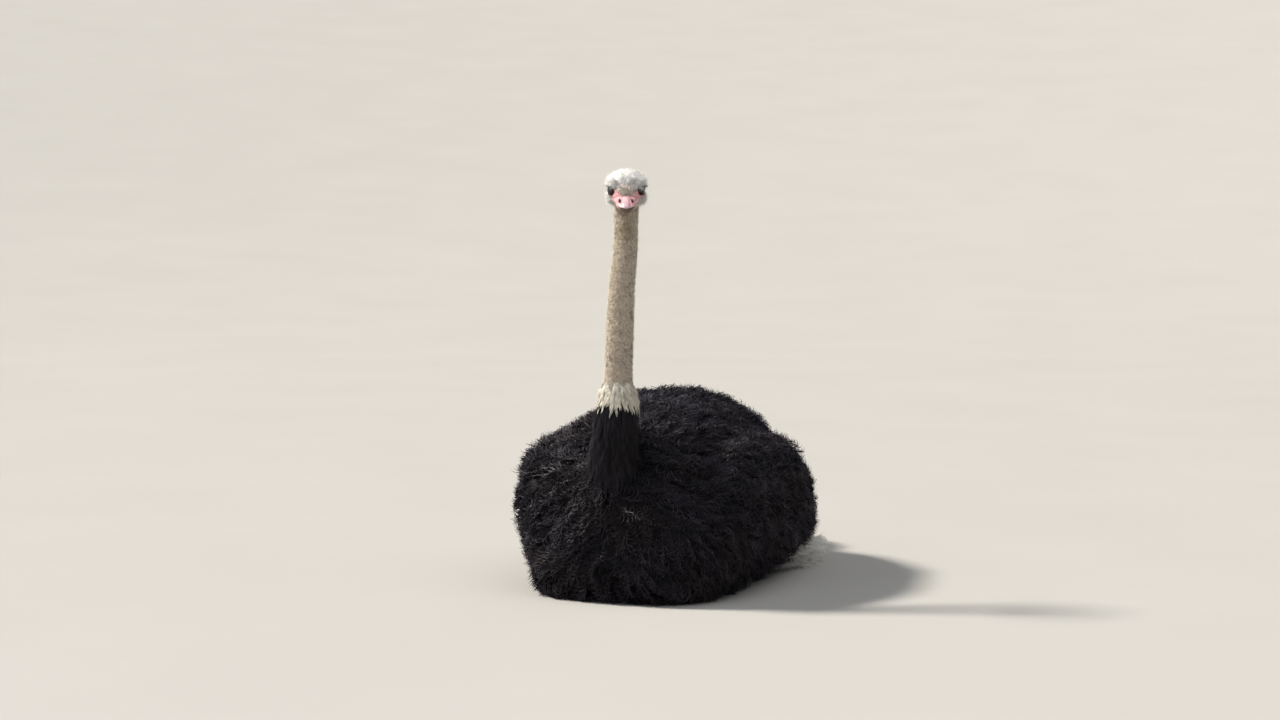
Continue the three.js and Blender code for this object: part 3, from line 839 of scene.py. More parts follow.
SKIN_COLOURS = {
    # Painted shade: the hide under the black plumage is near-black, so gaps between the plumes read as deep
    # shade.
    "body": 0x08070A,
    "collar": 0x9C8C82,
    "neck": 0xA89A8C,
    "throat": 0x93815F,
    "crown": 0xC2B8B0,
    "face": 0xC2B6AA,
    # lid: partly the skin's own dark, partly painted shade under the brow
    "lid": 0x241B19,
    "pink": 0xC49698,
}
LEG_SKIN = 0xA98A80
tint = markings(skin_points, SKIN_COLOURS)
# The hocks come out of the coat low at the back, and there the skin has the legs' colour.
_, _, _, _, outline, _ = over_body(skin_points)
on_leg = np.linalg.norm(skin_points - MIDDLE, axis=1) > outline - 0.5 * BODY_COAT
on_leg &= (skin_points[:, 2] < 0.09) & (skin_points[:, 1] > 0.35)
paint(skin.data, np.where(on_leg[:, None], pigment(LEG_SKIN), tint))
skin.data.vertices.foreach_set("co", (skin_points + TO_FRAME).astype(np.float32).ravel())
skin.data.shade_smooth()
skin.data.update()

# Dry hide: dull, blotched every centimetre, with pores 2 mm apart, coarser than real so that they show.
hide, tree, shader = new_finish("dry_bird_hide")
place, _ = mottled(tree, shader, 0.012, 4, 0.78, 1.16)
pores = add(tree, "TexVoronoi", {"Vector": place, "Scale": 1 / 0.0022}, feature="F1").outputs["Distance"]
height = add(tree, "Bump", {"Height": pores, "Strength": 0.45, "Distance": 0.0005})
tree.links.new(height.outputs["Normal"], shader.inputs["Normal"])
shader.inputs["Roughness"].default_value = 0.55
shader.inputs["Specular IOR Level"].default_value = 0.12
skin.data.materials.clear()
skin.data.materials.append(hide)
LEG_PARTS = ("shank", "tarsus", "toe_inner", "toe_outer")
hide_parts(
    *("trunk", "wing_left", "wing_right"),
    *("neck_base", "collar", "neck_lower", "neck_middle", "neck_upper", "head"),
    *[f"{part}_{word}" for part in LEG_PARTS for word in SIDES.values()],
)
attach(skin, "root")


# ---- Black body plumes: the curled contour feathers of the trunk and the folded wings ----
# A male's body feathers are loose: their barbs aren't hooked together, so each curls by itself and the coat
# looks like astrakhan. Each plume here is a lock of such barbs along a short shaft that lies with the coat.

PLUME_ROOM = 0.003  # side of a tuft's patch on the unwrap
PLUME_LENGTH = 0.062  # of a lock's shaft
PLUME_BARBS = 12
PLUMES_PER_AREA = 3050  # on each square metre
SHAFT_STATIONS = 6
BARB_STEPS = 6
ROOT_DEPTH = BODY_COAT - 0.002  # just over the skin
SPREAD_ALONG, SPREAD_ROUND = 0.5698402910, 0.7548776662  # steps of the plastic number, whose pairs keep apart
COAT_OVER_FLOOR = 0.0012


def cell_areas(points):
    """The area of each cell of a grid surface that closes round its first direction."""
    wide = np.roll(points, -1, 0)[:, :-1] - points[:, :-1]
    return np.linalg.norm(np.cross(wide, np.diff(points, axis=1)), axis=-1)


def scatter(points, weight, count, rng):
    """Places u, v of roots spread evenly over a grid surface where the weight is set: a sequence of pairs
    that keeps its members apart, read through the running sum of the cells' areas along and then round."""
    area = cell_areas(points) * weight[:, :-1] + 1e-15
    around, rows = area.shape
    k = np.arange(count) + rng.uniform(0, 1000)
    row_sum = np.concatenate([[0], np.cumsum(area.sum(0))]) / area.sum()
    along = np.interp((k * SPREAD_ALONG) % 1, row_sum, np.arange(rows + 1))
    row = np.minimum(along.astype(int), rows - 1)
    round_sum = (np.cumsum(area, 0) / area.sum(0) + np.arange(rows)).T.ravel()
    cell = np.clip(np.searchsorted(round_sum, row + (k * SPREAD_ROUND) % 1) - row * around, 0, around - 1)
    return (cell + rng.uniform(0, 1, count)) / around, along / rows


def turned(vectors, normals, angle):
    """Vectors lying in a surface, turned in it about its normals by an angle."""
    return vectors * np.cos(angle)[..., None] + np.cross(normals, vectors) * np.sin(angle)[..., None]


def laid(lie, normals):
    """The part of a direction that lies in the surface, one long."""
    return unit(lie - normals * np.sum(lie * normals, -1, keepdims=True))


def curls(base, along, normal, side, length, splay, lift, winding, tilt, twist, count=BARB_STEPS):
    """Curled barbs. From its base each barb leaves the shaft at the splay angle to its side and rises by
    the lift, then winds through an angle that grows with the 1.4th power of its length, in a plane tilted
    from the surface; twist turns its flat side from that plane. Returns points and the directions across,
    per barb."""

    def deep(value):
        """A value for each barb, ready to weigh the three parts of a direction."""
        return np.broadcast_to(value, side.shape)[..., None]

    outward = np.cross(normal, along) * side[..., None]
    start = unit(along * np.cos(deep(splay)) + outward * np.sin(deep(splay)))
    start = start * np.cos(deep(lift)) + normal * np.sin(deep(lift))
    bend = np.cross(normal, start) * np.cos(deep(tilt)) * np.sign(deep(winding)) + normal * np.sin(deep(tilt))
    bend = unit(bend - start * np.sum(bend * start, -1, keepdims=True))
    third = np.cross(start, bend)
    share = np.arange(count + 1) / count
    turn = np.abs(deep(winding)) * share**1.4
    middle = np.abs(deep(winding)) * ((share[1:] + share[:-1]) / 2) ** 1.4
    steps = start[..., None, :] * np.cos(middle)[..., None] + bend[..., None, :] * np.sin(middle)[..., None]
    steps = steps * (deep(length) / count)[..., None]
    zero = np.zeros_like(steps[..., :1, :])
    points = base[..., None, :] + np.cumsum(np.concatenate([zero, steps], -2), -2)
    flat = bend[..., None, :] * np.cos(turn)[..., None] - start[..., None, :] * np.sin(turn)[..., None]
    turned_flat = deep(twist)[..., None]
    across = flat * np.cos(turned_flat) + third[..., None, :] * np.sin(turned_flat)
    return points, across


def at_places(values, place):
    """Values at places along shafts, each weighed between the two stations beside it."""
    i = np.minimum(place.astype(int), values.shape[1] - 2)
    part = (place - i)[None, :, None]
    return values[:, i] * (1 - part) + values[:, i + 1] * part


def ribbon_piece(name, points, across, half, outward, root_uv, tint, finish, form):
    """Joined ribbons as one piece. The arrays go tuft, strand, point: points and across in space, half the
    width, outward the side to face, root_uv the tuft's place on the unwrap, tint its colour at each point.
    The bake map gives each tuft a small square at its root: across it by strand and up it from root to tip.
    form is the share of the coat's own shape in the shading: real barbs scatter light, so a coat shades as
    one soft surface."""
    tufts, strands, steps = half.shape
    along = np.gradient(points, axis=2)
    outside = outward[:, None, None, :]
    facing = np.sum(np.cross(across, along) * outside, (-1, -2), keepdims=True)
    flat = unit(np.cross(across, along) * np.where(facing < 0, -1.0, 1.0))
    reach = across * np.where(facing < 0, -1.0, 1.0) * half[..., None]
    turned_out = np.clip(np.sum(flat * outside, -1, keepdims=True) / 0.35, -1, 1)
    shading = unit((1 - form) * flat + form * turned_out * outside)
    verts = np.stack([points - reach, points + reach], 3)
    verts[..., 2] = np.maximum(verts[..., 2], COAT_OVER_FLOOR)
    first = (np.arange(tufts * strands)[:, None] * steps + np.arange(steps - 1)) * 2
    quads = np.stack([first, first + 1, first + 3, first + 2], -1).reshape(-1, 4)
    mesh = bpy.data.meshes.new(name)
    fill_mesh(mesh, verts.reshape(-1, 3) + TO_FRAME, quads)
    strand = (np.arange(strands)[:, None, None] + np.array([0.0, 1.0])) / strands
    s = np.broadcast_to(strand, (strands, steps, 2))
    t = np.broadcast_to(np.linspace(0, 1, steps)[None, :, None], (strands, steps, 2))
    uv = root_uv[:, None, None, None, :] * (1 - PLUME_ROOM) + PLUME_ROOM * np.stack([s, t], -1)
    uv = uv.reshape(-1, 2)[quads.ravel()].astype(np.float32)
    mesh.uv_layers.new(name="OFBake").data.foreach_set("uv", uv.ravel())
    paint(mesh, np.repeat(tint[..., None, :], 2, 3))
    both_edges = np.repeat(shading[..., None, :], 2, 3).astype(np.float32)
    custom_normal = mesh.attributes.new("custom_normal", "FLOAT_VECTOR", "POINT")
    custom_normal.data.foreach_set("vector", both_edges.ravel())
    mesh.materials.append(finish)
    made = shown(name, mesh)
    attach(made, "root")
    return made


def plumage(name, grain, roughness, sheen, sheen_tint, light, bump, through=0.0, gloss=0.4):
    """Feather keratin: the marking's colour, made lighter and darker in clouds of the grain's size in
    metres, with a fine bump of barbules, a millimetre apart so that they show, and a sheen at its soft
    edges. Pale barbs let a share of the light through."""
    material, tree, shader = new_finish(name)
    place, colour = mottled(tree, shader, grain, 2, *light)
    barbules = add(tree, "TexNoise", {"Vector": place, "Scale": 1 / 0.0012, "Detail": 1}).outputs["Fac"]
    height = add(tree, "Bump", {"Height": barbules, "Strength": bump, "Distance": 0.0006})
    tree.links.new(height.outputs["Normal"], shader.inputs["Normal"])
    shader.inputs["Roughness"].default_value = roughness
    shader.inputs["Specular IOR Level"].default_value = gloss
    shader.inputs["Sheen Weight"].default_value = sheen
    shader.inputs["Sheen Roughness"].default_value = 0.45
    shader.inputs["Sheen Tint"].default_value = linear(sheen_tint)
    if through:
        glow = add(tree, "BsdfTranslucent", {"Color": colour})
        mixed = add(tree, "MixShader", {0: through, 1: shader.outputs["BSDF"], 2: glow.outputs["BSDF"]})
        tree.links.new(mixed.outputs["Shader"], tree.nodes["Material Output"].inputs["Surface"])
    return material


# Dark barbs: dull, soft and dense, so that hardly anything shines and only the lock's own shading is seen.
black_barbs = plumage(
    "black_plumage",
    grain=0.03,
    roughness=0.45,
    sheen=0.02,
    sheen_tint=0x8C88A0,
    light=(0.7, 1.3),
    bump=0.35,
    gloss=0.12,
)
BLACK = pigment(0x28252D)
BROWN_BLACK = pigment(0x2B2422)


def body_lie(p, normal):
    """The way the body feathers lie: back along the body and drooping, more on the right wing and low on
    the flanks, swirled by slow waves so that the locks flow into each other."""
    droop = 0.35 + 0.75 * (p[..., 0] < 0) + 1.2 * np.clip(0.28 - p[..., 2], 0, 1) / 0.28
    lie = np.stack([0.25 * np.sign(p[..., 0]) * np.ones_like(droop), np.ones_like(droop), -droop], -1)
    return turned(laid(lie, normal), normal, 0.5 * sway(p, 0.16, 5) + 0.35 * sway(p, 0.06, 6))


def body_plumes(name, weight, count, seed):
    """Locks of curled barbs over a part of the body: a shaft marches over the outline from its root, rising
    from the skin to the tips' depth, and barbs leave it to both sides."""
    rng = np.random.default_rng(seed)
    stations, strands = SHAFT_STATIONS, PLUME_BARBS
    u, v = scatter(body_outline, weight, count, rng)
    way, _, _, normal, reach, slant = over_body(MIDDLE + ways(u, v))
    root_uv = np.stack([u, v], -1)
    long = PLUME_LENGTH * rng.uniform(0.75, 1.3, count)
    tip = body_point(way, reach, slant, 0.0)
    lump = 0.007 * sway(tip, 0.13, 9) + 0.004 * sway(tip, 0.05, 10)
    top = 0.011 - lump + rng.uniform(-0.003, 0.004, count)
    path, normals, alongs = [], [], []
    p = body_point(way, reach, slant, np.full(count, ROOT_DEPTH))
    for k in range(stations):
        way, _, _, normal, reach, slant = over_body(p)
        share = k / (stations - 1)
        p = body_point(way, reach, slant, top + (ROOT_DEPTH - top) * (1 - share) ** 1.6)
        lie = body_lie(p, normal)
        path.append(p)
        normals.append(normal)
        alongs.append(lie)
        p = p + lie * (long / (stations - 1))[:, None]
    path, normals, alongs = np.stack(path, 1), np.stack(normals, 1), np.stack(alongs, 1)
    place = np.linspace(0.08, 0.98, strands) * (stations - 1)
    shape = (count, strands)
    share_along = (place / (stations - 1)) * np.ones(shape)
    side = np.where(np.arange(strands) % 2, 1.0, -1.0) * np.ones(shape)
    open_lock = rng.uniform(size=count) < 0.45
    tuft_wind = np.where(open_lock, rng.uniform(1.0, 2.6, count), rng.uniform(2.8, 5.4, count))
    tuft_wind = (tuft_wind * np.where(sway(path[:, 0], 0.05, 11) > 0, 1, -1))[:, None]
    points, across = curls(
        base=at_places(path, place),
        along=unit(at_places(alongs, place)),
        normal=unit(at_places(normals, place)),
        side=side,
        length=long[:, None] * (0.66 - 0.22 * share_along) * rng.uniform(0.75, 1.2, shape),
        splay=0.85 - 0.55 * share_along + rng.normal(0, 0.07, shape),
        lift=0.10 + 0.30 * rng.uniform(0, 1, (count, 1)) + rng.normal(0, 0.06, shape),
        winding=tuft_wind * rng.normal(1, 0.16, shape),
        tilt=rng.uniform(0.1, 1.3, (count, 1)) + rng.normal(0, 0.14, shape),
        twist=rng.uniform(0.3, 1.3, (count, 1)) + rng.normal(0, 0.2, shape),
    )
    share = np.linspace(0, 1, BARB_STEPS + 1)
    half = 0.0016 * (1.02 - 0.92 * share**1.25) * np.ones((*shape, 1))
    warm = 0.15 + 0.25 * sway(path[:, 0], 0.2, 21) + rng.normal(0, 0.1, count)
    warm = np.clip(warm, 0, 1)[:, None, None, None]
    bright = np.exp(np.clip(rng.normal(0, 0.55, (count, 1, 1, 1)), -1.4, 0.8))
    tint = (BLACK * (1 - warm) + BROWN_BLACK * warm) * bright
    # Painted shade: each barb is darkest at its root and lighter towards its tip, standing in for the shade
    # deep in the coat.
    tint = tint * rng.uniform(0.85, 1.15, (*shape, 1, 1)) * (0.15 + 1.1 * share)[:, None]
    outward = normals[:, 0]
    slot, finish = "black_plumage", black_barbs
    ribbon_piece(name, points, across, half, outward, root_uv, tint, finish, form=0.45)


outline_x, outline_y, outline_z = np.moveaxis(body_outline, -1, 0)
off_floor = outline_z > 0.004
left_side = (outline_x > 0.16) & off_floor
right_side = (outline_x < -0.16) & off_floor
between_wings = ~left_side & ~right_side & off_floor
body_regions = {  # where the roots of each piece's locks stand on the outline
    "plumes_wing_left_front": left_side & (outline_y < -0.12),
    "plumes_wing_left_back": left_side & (outline_y >= -0.12),
    "plumes_wing_right_front": right_side & (outline_y < -0.12),
    "plumes_wing_right_back": right_side & (outline_y >= -0.12),
    "plumes_breast": between_wings & (outline_y < -0.42) & (outline_z < 0.5),
    "plumes_back": between_wings & (outline_z >= 0.12) & (outline_y >= -0.42) & (outline_y < 0.22),
    "plumes_rump": between_wings & (outline_y >= 0.22),
}
areas = cell_areas(body_outline)
for number, (name, region) in enumerate(body_regions.items()):
    count = int(PLUMES_PER_AREA * np.sum(areas * region[:, :-1]))
    body_plumes(name, region.astype(float), count, seed=100 + number)


# ---- Long feathers of the neck's base: smooth, soft and black, hanging straight over the breast ----
# They are lance-shaped and lie flat, so this column looks sleek beside the curled body. It is painted darker
# than the body and darkest at the roots, as painted shade, with a painted lighter streak down its right side,
# which faces the key, as painted light.

HANG_STEPS = 8
NECK_LOW = 0.305  # where the neck's own path ends, inside the breast
MEETING = 0.022  # about how long the hollow curve between neck and breast is
BASE_LOCKS, BASE_STRANDS = 700, 6


def over_breast(p, rise):
    """Points under the body's outline moved out along the way from its middle to a rise above it, with a
    hollow curve of about the meeting length where the neck's surface runs onto the body's."""
    way, _, _, _, reach, slant = over_body(p)
    base = reach + rise / slant
    gap = np.linalg.norm(p - MIDDLE, axis=-1) - base
    return MIDDLE + way * (base + (gap + np.sqrt(gap**2 + MEETING**2)) / 2)[..., None]


def beyond_body(p):
    """How far points stand out beyond the body's outline, negative inside it."""
    _, _, _, _, reach, _ = over_body(p)
    return np.linalg.norm(p - MIDDLE, axis=-1) - reach


def hanging(heights, weight, count, strands, length, spread, drawn, flare, wave, seed):
    """Locks that hang down the neck: each strand starts beside the others and they draw together towards
    the tip, by the share drawn. Returns points, directions across, outward directions, places on the unwrap
    and round the neck, and the random numbers."""
    rng = np.random.default_rng(seed)
    grid_u, grid_z = turn_grid(64, np.linspace(*heights, 60))
    grid = neck_point(grid_u, grid_z, np.zeros(grid_u.shape))
    u, v = scatter(grid, weight(grid, grid_z), count, rng)
    height = heights[0] + (heights[1] - heights[0]) * v
    long = rng.uniform(*length, count)[:, None, None] * rng.uniform(0.8, 1.0, (count, strands, 1))
    s = np.linspace(0, 1, HANG_STEPS)
    fan = ((np.arange(strands) - (strands - 1) / 2) / strands)[None, :, None]
    phase = rng.uniform(0, 2 * pi, (count, 1, 1)) + rng.uniform(-0.5, 0.5, (count, strands, 1))
    weave = wave * s**1.3 * np.sin(phase + 5.0 * s) + rng.normal(0, 0.012, (count, 1, 1)) * s
    at_u = u[:, None, None] + spread * fan * (1.0 - drawn * s) + weave
    at_z = height[:, None, None] - long * s + 0.002 * rng.normal(size=(count, strands, 1)) * (1 - s)
    coat = read_rows(NECK_COAT_ROWS, height)[0][:, None, None]
    depth = coat * (1 - s) ** 1.1
    loose = flare * s**1.5 * rng.uniform(0.3, 1.2, (count, 1, 1)) + 0.001 * rng.normal(size=depth.shape) * s
    below = np.maximum(NECK_LOW - at_z, 0)[..., None] * np.array([0, 0, 1.0])
    points = neck_point(at_u, np.maximum(at_z, NECK_LOW), depth - loose) - below
    points = over_breast(points, 0.003 - depth)
    _, wide, front, _, _ = neck_frame(height)
    angle = 2 * pi * u
    outward = wide * np.cos(angle)[:, None] + front * np.sin(angle)[:, None]
    along = unit(np.gradient(points, axis=2))
    roll = rng.uniform(-0.7, 0.7, (count, strands, 1, 1))
    flat = unit(np.cross(along, outward[:, None, None, :]))
    across = flat * np.cos(roll) + np.cross(along, flat) * np.sin(roll)
    return points, across, outward, np.stack([u, (height - 0.25) / 0.9], -1), u, rng


points, across, outward, root_uv, round_u, rng = hanging(
    heights=(0.425, 0.582),
    weight=lambda p, z: between(beyond_body(p), -0.020, 0.002),
    count=BASE_LOCKS,
    strands=BASE_STRANDS,
    length=(0.050, 0.090),
    spread=0.045,
    drawn=0.80,
    flare=0.001,
    wave=0.010,
    seed=201,
)
share = np.linspace(0, 1, HANG_STEPS)
half = 0.0012 * (1.05 - share**1.8) * np.ones((*points.shape[:2], 1))
each_lock, each_strand = (BASE_LOCKS, 1, 1, 1), (BASE_LOCKS, BASE_STRANDS, 1, 1)
# Painted light: a lighter streak down the column's right side, the side that faces the key.
painted_light_streak = np.exp(-(((round_u - 0.50) / 0.07) ** 2))[:, None, None, None] * rng.uniform(0.1, 1.0, each_strand)
# Painted shade: the locks are darker than the body's plumes, and darkest at their roots.
tint = BLACK * np.exp(rng.normal(-0.9, 0.5, each_lock)) * rng.uniform(0.7, 1.2, each_strand)
tint = tint * (0.4 + 0.6 * share)[:, None]
tint = tint + painted_light_streak * pigment(0x4A474A) * 0.8
slot, finish = "black_plumage", black_barbs
ribbon_piece("feathers_neck_base", points, across, half, outward, root_uv, tint, finish, form=0.25)


# ---- White collar: a ring of long soft feathers where the bare neck ends ----
# Its feathers hang in pointed locks over the black ones, creamy white and a little soiled. The strands of a
# lock draw together at its tip, as soft barbs do where they cling.

COLLAR_LOCKS, COLLAR_STRANDS = 360, 12
COAT_COLOURS = {
    "body": 0x1E1C21,
    "collar": 0xEDE9E0,
    "neck": 0xE8E0D0,
    "throat": 0xAC9C70,
    "crown": 0xFBFAF8,
    "face": 0xE2DACE,
    # lid: partly the down's own dark, partly painted shade under the brow
    "lid": 0x2A2322,
    "pink": 0xD9A7A2,
}
# Pale barbs: finer and softer, so light comes through them and their edges glow against the dark body.
white_barbs = plumage(
    "white_plumage",
    grain=0.012,
    roughness=0.7,
    sheen=0.45,
    sheen_tint=0xFFFFFF,
    light=(0.9, 1.06),
    bump=0.3,
    through=0.45,
)
points, across, outward, root_uv, round_u, rng = hanging(
    heights=(0.568, 0.611),
    weight=lambda p, z: 0.7 + 0.6 * (z < 0.60),
    count=COLLAR_LOCKS,
    strands=COLLAR_STRANDS,
    length=(0.012, 0.050),
    spread=0.050,
    drawn=0.98,
    flare=0.002,
    wave=0.012,
    seed=211,
)
half = 0.00085 * (1.05 - share**2) * np.ones((*points.shape[:2], 1))
each_lock, each_strand = (COLLAR_LOCKS, 1, 1, 1), (COLLAR_LOCKS, COLLAR_STRANDS, 1, 1)
soil = rng.uniform(0.68, 1.08, each_lock) * rng.uniform(0.88, 1.08, each_strand)
tint = pigment(0xFBF8F0) * soil * np.array([1.0, 0.985, 0.95]) ** rng.uniform(0, 2.0, each_lock)
# Painted shade: the locks are a little darker at their roots.
tint = tint * (0.9 + 0.1 * share)[:, None]
slot, finish = "white_plumage", white_barbs
ribbon_piece("feathers_collar", points, across, half, outward, root_uv, tint, finish, form=0.6)


# ---- Down of the neck: short, woolly and sparse, so that the skin's colour shows through ----
# Each tuft is a few curled hairs a little under a centimetre long, greyish cream, laid down the neck. The
# down starts inside the collar and ends under the head, where the head's own takes over.

# Sparse down: matt, warm and a little see-through, so the neck looks velvety and is brightest at its edges.
neck_barbs = plumage(
    "neck_down",
    grain=0.006,
    roughness=0.8,
    sheen=0.45,
    sheen_tint=0xFFF8EC,
    light=(0.84, 1.08),
    bump=0.3,
    through=0.45,
)


def down_piece(
    name, surface, normals, weight, count, lie, long, lift, dark, width, strands, steps, winding,
    finish, seed,
):
    """Small tufts over a grid surface: curled hairs that leave one root in a fan. lie, long, lift and dark
    are read at the roots: the way the down lies, its length, how far it stands up, and the share of dark
    specks."""
    rng = np.random.default_rng(seed)
    u, v = scatter(surface, weight, count, rng)
    root = read_grid(surface, u, v)
    normal = unit(read_grid(normals, u, v))
    along = laid(lie(root), normal)
    along = turned(along, normal, 0.35 * sway(root, 0.03, seed + 1) + rng.normal(0, 0.22, count))
    shape = (count, strands)
    base = root[:, None] + 0.0007 * rng.normal(size=(*shape, 3)) - 0.0006 * normal[:, None]
    ones = np.ones((*shape, 1))
    points, across = curls(
        base=base,
        along=along[:, None] * ones,
        normal=normal[:, None] * ones,
        side=rng.choice([-1.0, 1.0], shape),
        length=long(root)[:, None] * rng.uniform(0.6, 1.15, (count, 1)) * rng.uniform(0.8, 1.1, shape),
        splay=rng.uniform(0.0, 0.55, shape),
        lift=lift(root)[:, None] + rng.normal(0, 0.16, shape),
        winding=rng.uniform(*winding, shape) * rng.choice([-1.0, 1.0], (count, 1)),
        tilt=rng.uniform(-0.5, 0.9, shape),
        twist=rng.uniform(0.0, 1.3, shape),
        count=steps,
    )
    share = np.linspace(0, 1, steps + 1)
    half = width * (1.05 - 0.9 * share**1.6) * ones
    speckled = rng.uniform(size=count) < dark(root)
    specks = np.where(speckled, rng.uniform(0.3, 0.6, count), rng.uniform(0.85, 1.08, count))
    tint = markings(root, COAT_COLOURS)[:, None, None, :] * specks[:, None, None, None]
    # Painted shade: the tufts are a little darker at their roots.
    tint = tint * rng.uniform(0.85, 1.1, (*shape, 1, 1)) * (0.86 + 0.16 * share)[:, None]
    root_uv = np.stack([u, v], -1)
    ribbon_piece(name, points, across, half, normal, root_uv, tint, finish, form=0.7)


# At its top the down dips in under the head, and it leaves out what the head covers.
neck_down_u, neck_down_z = turn_grid(96, np.linspace(0.592, 1.124, 168))
tucked = np.clip((neck_down_z - 1.104) / 0.020, 0, 1)
neck_inset = read_rows(NECK_COAT_ROWS, neck_down_z)[0] + 0.018 * tucked**2
neck_surface = neck_point(neck_down_u, neck_down_z, neck_inset)
under_head = to_head(neck_surface) - np.array([0.0, 0.006, -0.006])
clear_of_head = np.sum((under_head / np.array([0.040, 0.066, 0.044])) ** 2, -1) > 0.8
down_piece(
    "down_neck",
    surface=neck_surface,
    normals=grid_normals(neck_surface, closed=False),
    weight=clear_of_head.astype(float),
    count=6500,
    lie=lambda p: np.array([0.0, 0.15, -1.0]) * np.ones_like(p),
    long=lambda p: 0.0100 + 0.002 * between(p[:, 2], 0.98, 1.06),
    lift=lambda p: 0.55 * np.ones(len(p)),
    dark=lambda p: np.clip(0.10 + 0.14 * sway(p, 0.03, 23), 0, 0.4),
    width=0.00045,
    strands=5,
    steps=2,
    winding=(0.3, 1.9),
    finish=neck_barbs,
    seed=221,
)


# ---- Down of the head: a fluffy pale cap over the eyes, softer cheeks and short bristles on the face ----
# The cap is longest on the crown and over the eyes; between the eyes it shortens to grey bristles that end
# in a point at the bill, and the pink skin under the eyes is nearly bare.

CROWN_LENGTH = 0.016
CHEEK_LENGTH = 0.024
FACE_LENGTH = 0.0075
INSIDE_NECK = 0.013  # how far inside the neck's outline the head's down stops
# The palest down: almost white, with a strong soft sheen, so the cap looks like cotton wool.
head_barbs = plumage(
    "head_down",
    grain=0.006,
    roughness=0.75,
    sheen=0.5,
    sheen_tint=0xFFFFFF,
    light=(0.9, 1.06),
    bump=0.3,
    through=0.4,
)
head_surface = from_head(bare_head)


def over_eye(q):
    """1 on the brow above an eye, where the cap hangs out over it."""
    aside = between(np.abs(q[..., 0]), 0.016, 0.034)
    return between(q[..., 2], 0.002, 0.016) * aside * between(q[..., 1], -0.05, -0.03)


def to_bill(q):
    """How far forward and down a point of the head lies, in metres from midway between the eyes."""
    return -q[..., 1] - 0.5 * q[..., 2]


def cheek(q):
    """1 behind and below an eye, where the down is longest."""
    away = ((q[..., 2] + 0.024) / 0.017) ** 2 + ((q[..., 1] - 0.014) / 0.020) ** 2
    return np.exp(-(away**2)) * between(np.abs(q[..., 0]), 0.018, 0.032)


def head_lie(p):
    """From the bill back over the skull, out over the eyes and down behind them."""
    q = to_head(p)
    side = np.sign(q[..., 0])
    brow, jowl = over_eye(q), cheek(q)
    low = between(-q[..., 2], -0.005, 0.02)
    across = side * (0.15 + 1.6 * brow + 0.5 * jowl)
    front = between(to_bill(q), 0.030, 0.046)
    back = 1.0 - 1.1 * brow - 0.5 * jowl - 2.0 * front
    lie = np.stack([across, back, -0.10 - 1.7 * brow - 0.9 * low - 0.3 * jowl - 0.6 * front], -1)
    return lie @ HEAD_AXES.T


def head_length(p):
    """Sixteen millimetres on the crown, more on the cheeks, half as long on the face, least by the bill."""
    q = to_head(p)
    length = CROWN_LENGTH + (0.011 - CROWN_LENGTH) * between(-q[..., 2], -0.005, 0.015)
    length = length + (CHEEK_LENGTH - length) * cheek(q) + 0.0075 * over_eye(q)
    length = length + (FACE_LENGTH - length) * between(to_bill(q), 0.012, 0.036)
    point = np.exp(-((q[..., 0] / 0.007) ** 2)) * between(to_bill(q), 0.030, 0.046)
    length = length + 0.007 * point + (0.0022 - length) * bare_face(q) * (1 - point)
    return length * (0.5 + 0.5 * np.maximum(between(from_eye(q), 0.017, 0.025), over_eye(q)))


def head_lift(p):
    """The down stands up on the cap, over the eyes and on the cheeks, and lies flat on the face."""
    q = to_head(p)
    raised = 0.45 * between(q[..., 2], -0.01, 0.02) * between(q[..., 1], -0.045, -0.02) - 0.15 * over_eye(q)
    return 0.30 + np.maximum(raised, 0.65 * cheek(q))


def head_specks(p):
    """A few grey tufts on the cap, more towards the bill."""
    q = to_head(p)
    return (0.05 + 0.25 * between(to_bill(q), 0.000, 0.040)) * (1 - bare_face(q))


# No down grows on the open eyes, inside the bill and where the neck enters the head.
behind_eye = between(bare_head[..., 1], -0.012, -0.002)
open_eye = (from_eye(bare_head) < 0.0165 - 0.0035 * behind_eye) & (np.abs(bare_head[..., 0]) > 0.02)
centre, wide, front, neck_half, neck_deep = neck_frame(np.minimum(head_surface[..., 2], 1.12))
off_neck = head_surface - centre
across_neck = np.sum(off_neck * wide, -1) / (neck_half - INSIDE_NECK)
under_neck = across_neck**2 + (np.sum(off_neck * front, -1) / (neck_deep - INSIDE_NECK)) ** 2 < 1
under_neck &= bare_head[..., 2] < -0.035
in_bill = (bare_head[..., 1] < -0.048) & (bare_head[..., 2] < -0.016)
density = np.where(open_eye | under_neck | in_bill, 0.0, 1.0 - 0.93 * bare_face(bare_head))
density = density * (1 + 1.2 * cheek(bare_head) + 0.6 * over_eye(bare_head))
down_piece(
    "down_head",
    surface=head_surface,
    normals=grid_normals(head_surface),
    weight=density,
    count=4300,
    lie=head_lie,
    long=head_length,
    lift=head_lift,
    dark=head_specks,
    width=0.00048,
    strands=6,
    steps=3,
    winding=(0.3, 1.8),
    finish=head_barbs,
    seed=231,
)


# ---- Eyes: the largest of any land animal, dark brown and wet ----
# Each is a ball with a slightly domed cornea; a black pupil in a brown iris with fine streaks, dark round
# it. Its lids are skin, and the upper one carries a row of stiff black lashes.

PUPIL = radians(19)
IRIS = radians(34)
EYE_AROUND, EYE_ALONG = 120, 90
LASHES = 46
LASH_STEPS = 7

# Tear film over the cornea: nearly a mirror, so the lamps show in it as small sharp lights.
eye_finish, tree, shader = new_finish("wet_eye")
marking = add(tree, "Attribute", attribute_name="marking").outputs["Color"]
tree.links.new(marking, shader.inputs["Base Color"])
shader.inputs["Roughness"].default_value = 0.07
shader.inputs["IOR"].default_value = 1.30
shader.inputs["Coat Weight"].default_value = 0.1
shader.inputs["Coat Roughness"].default_value = 0.02


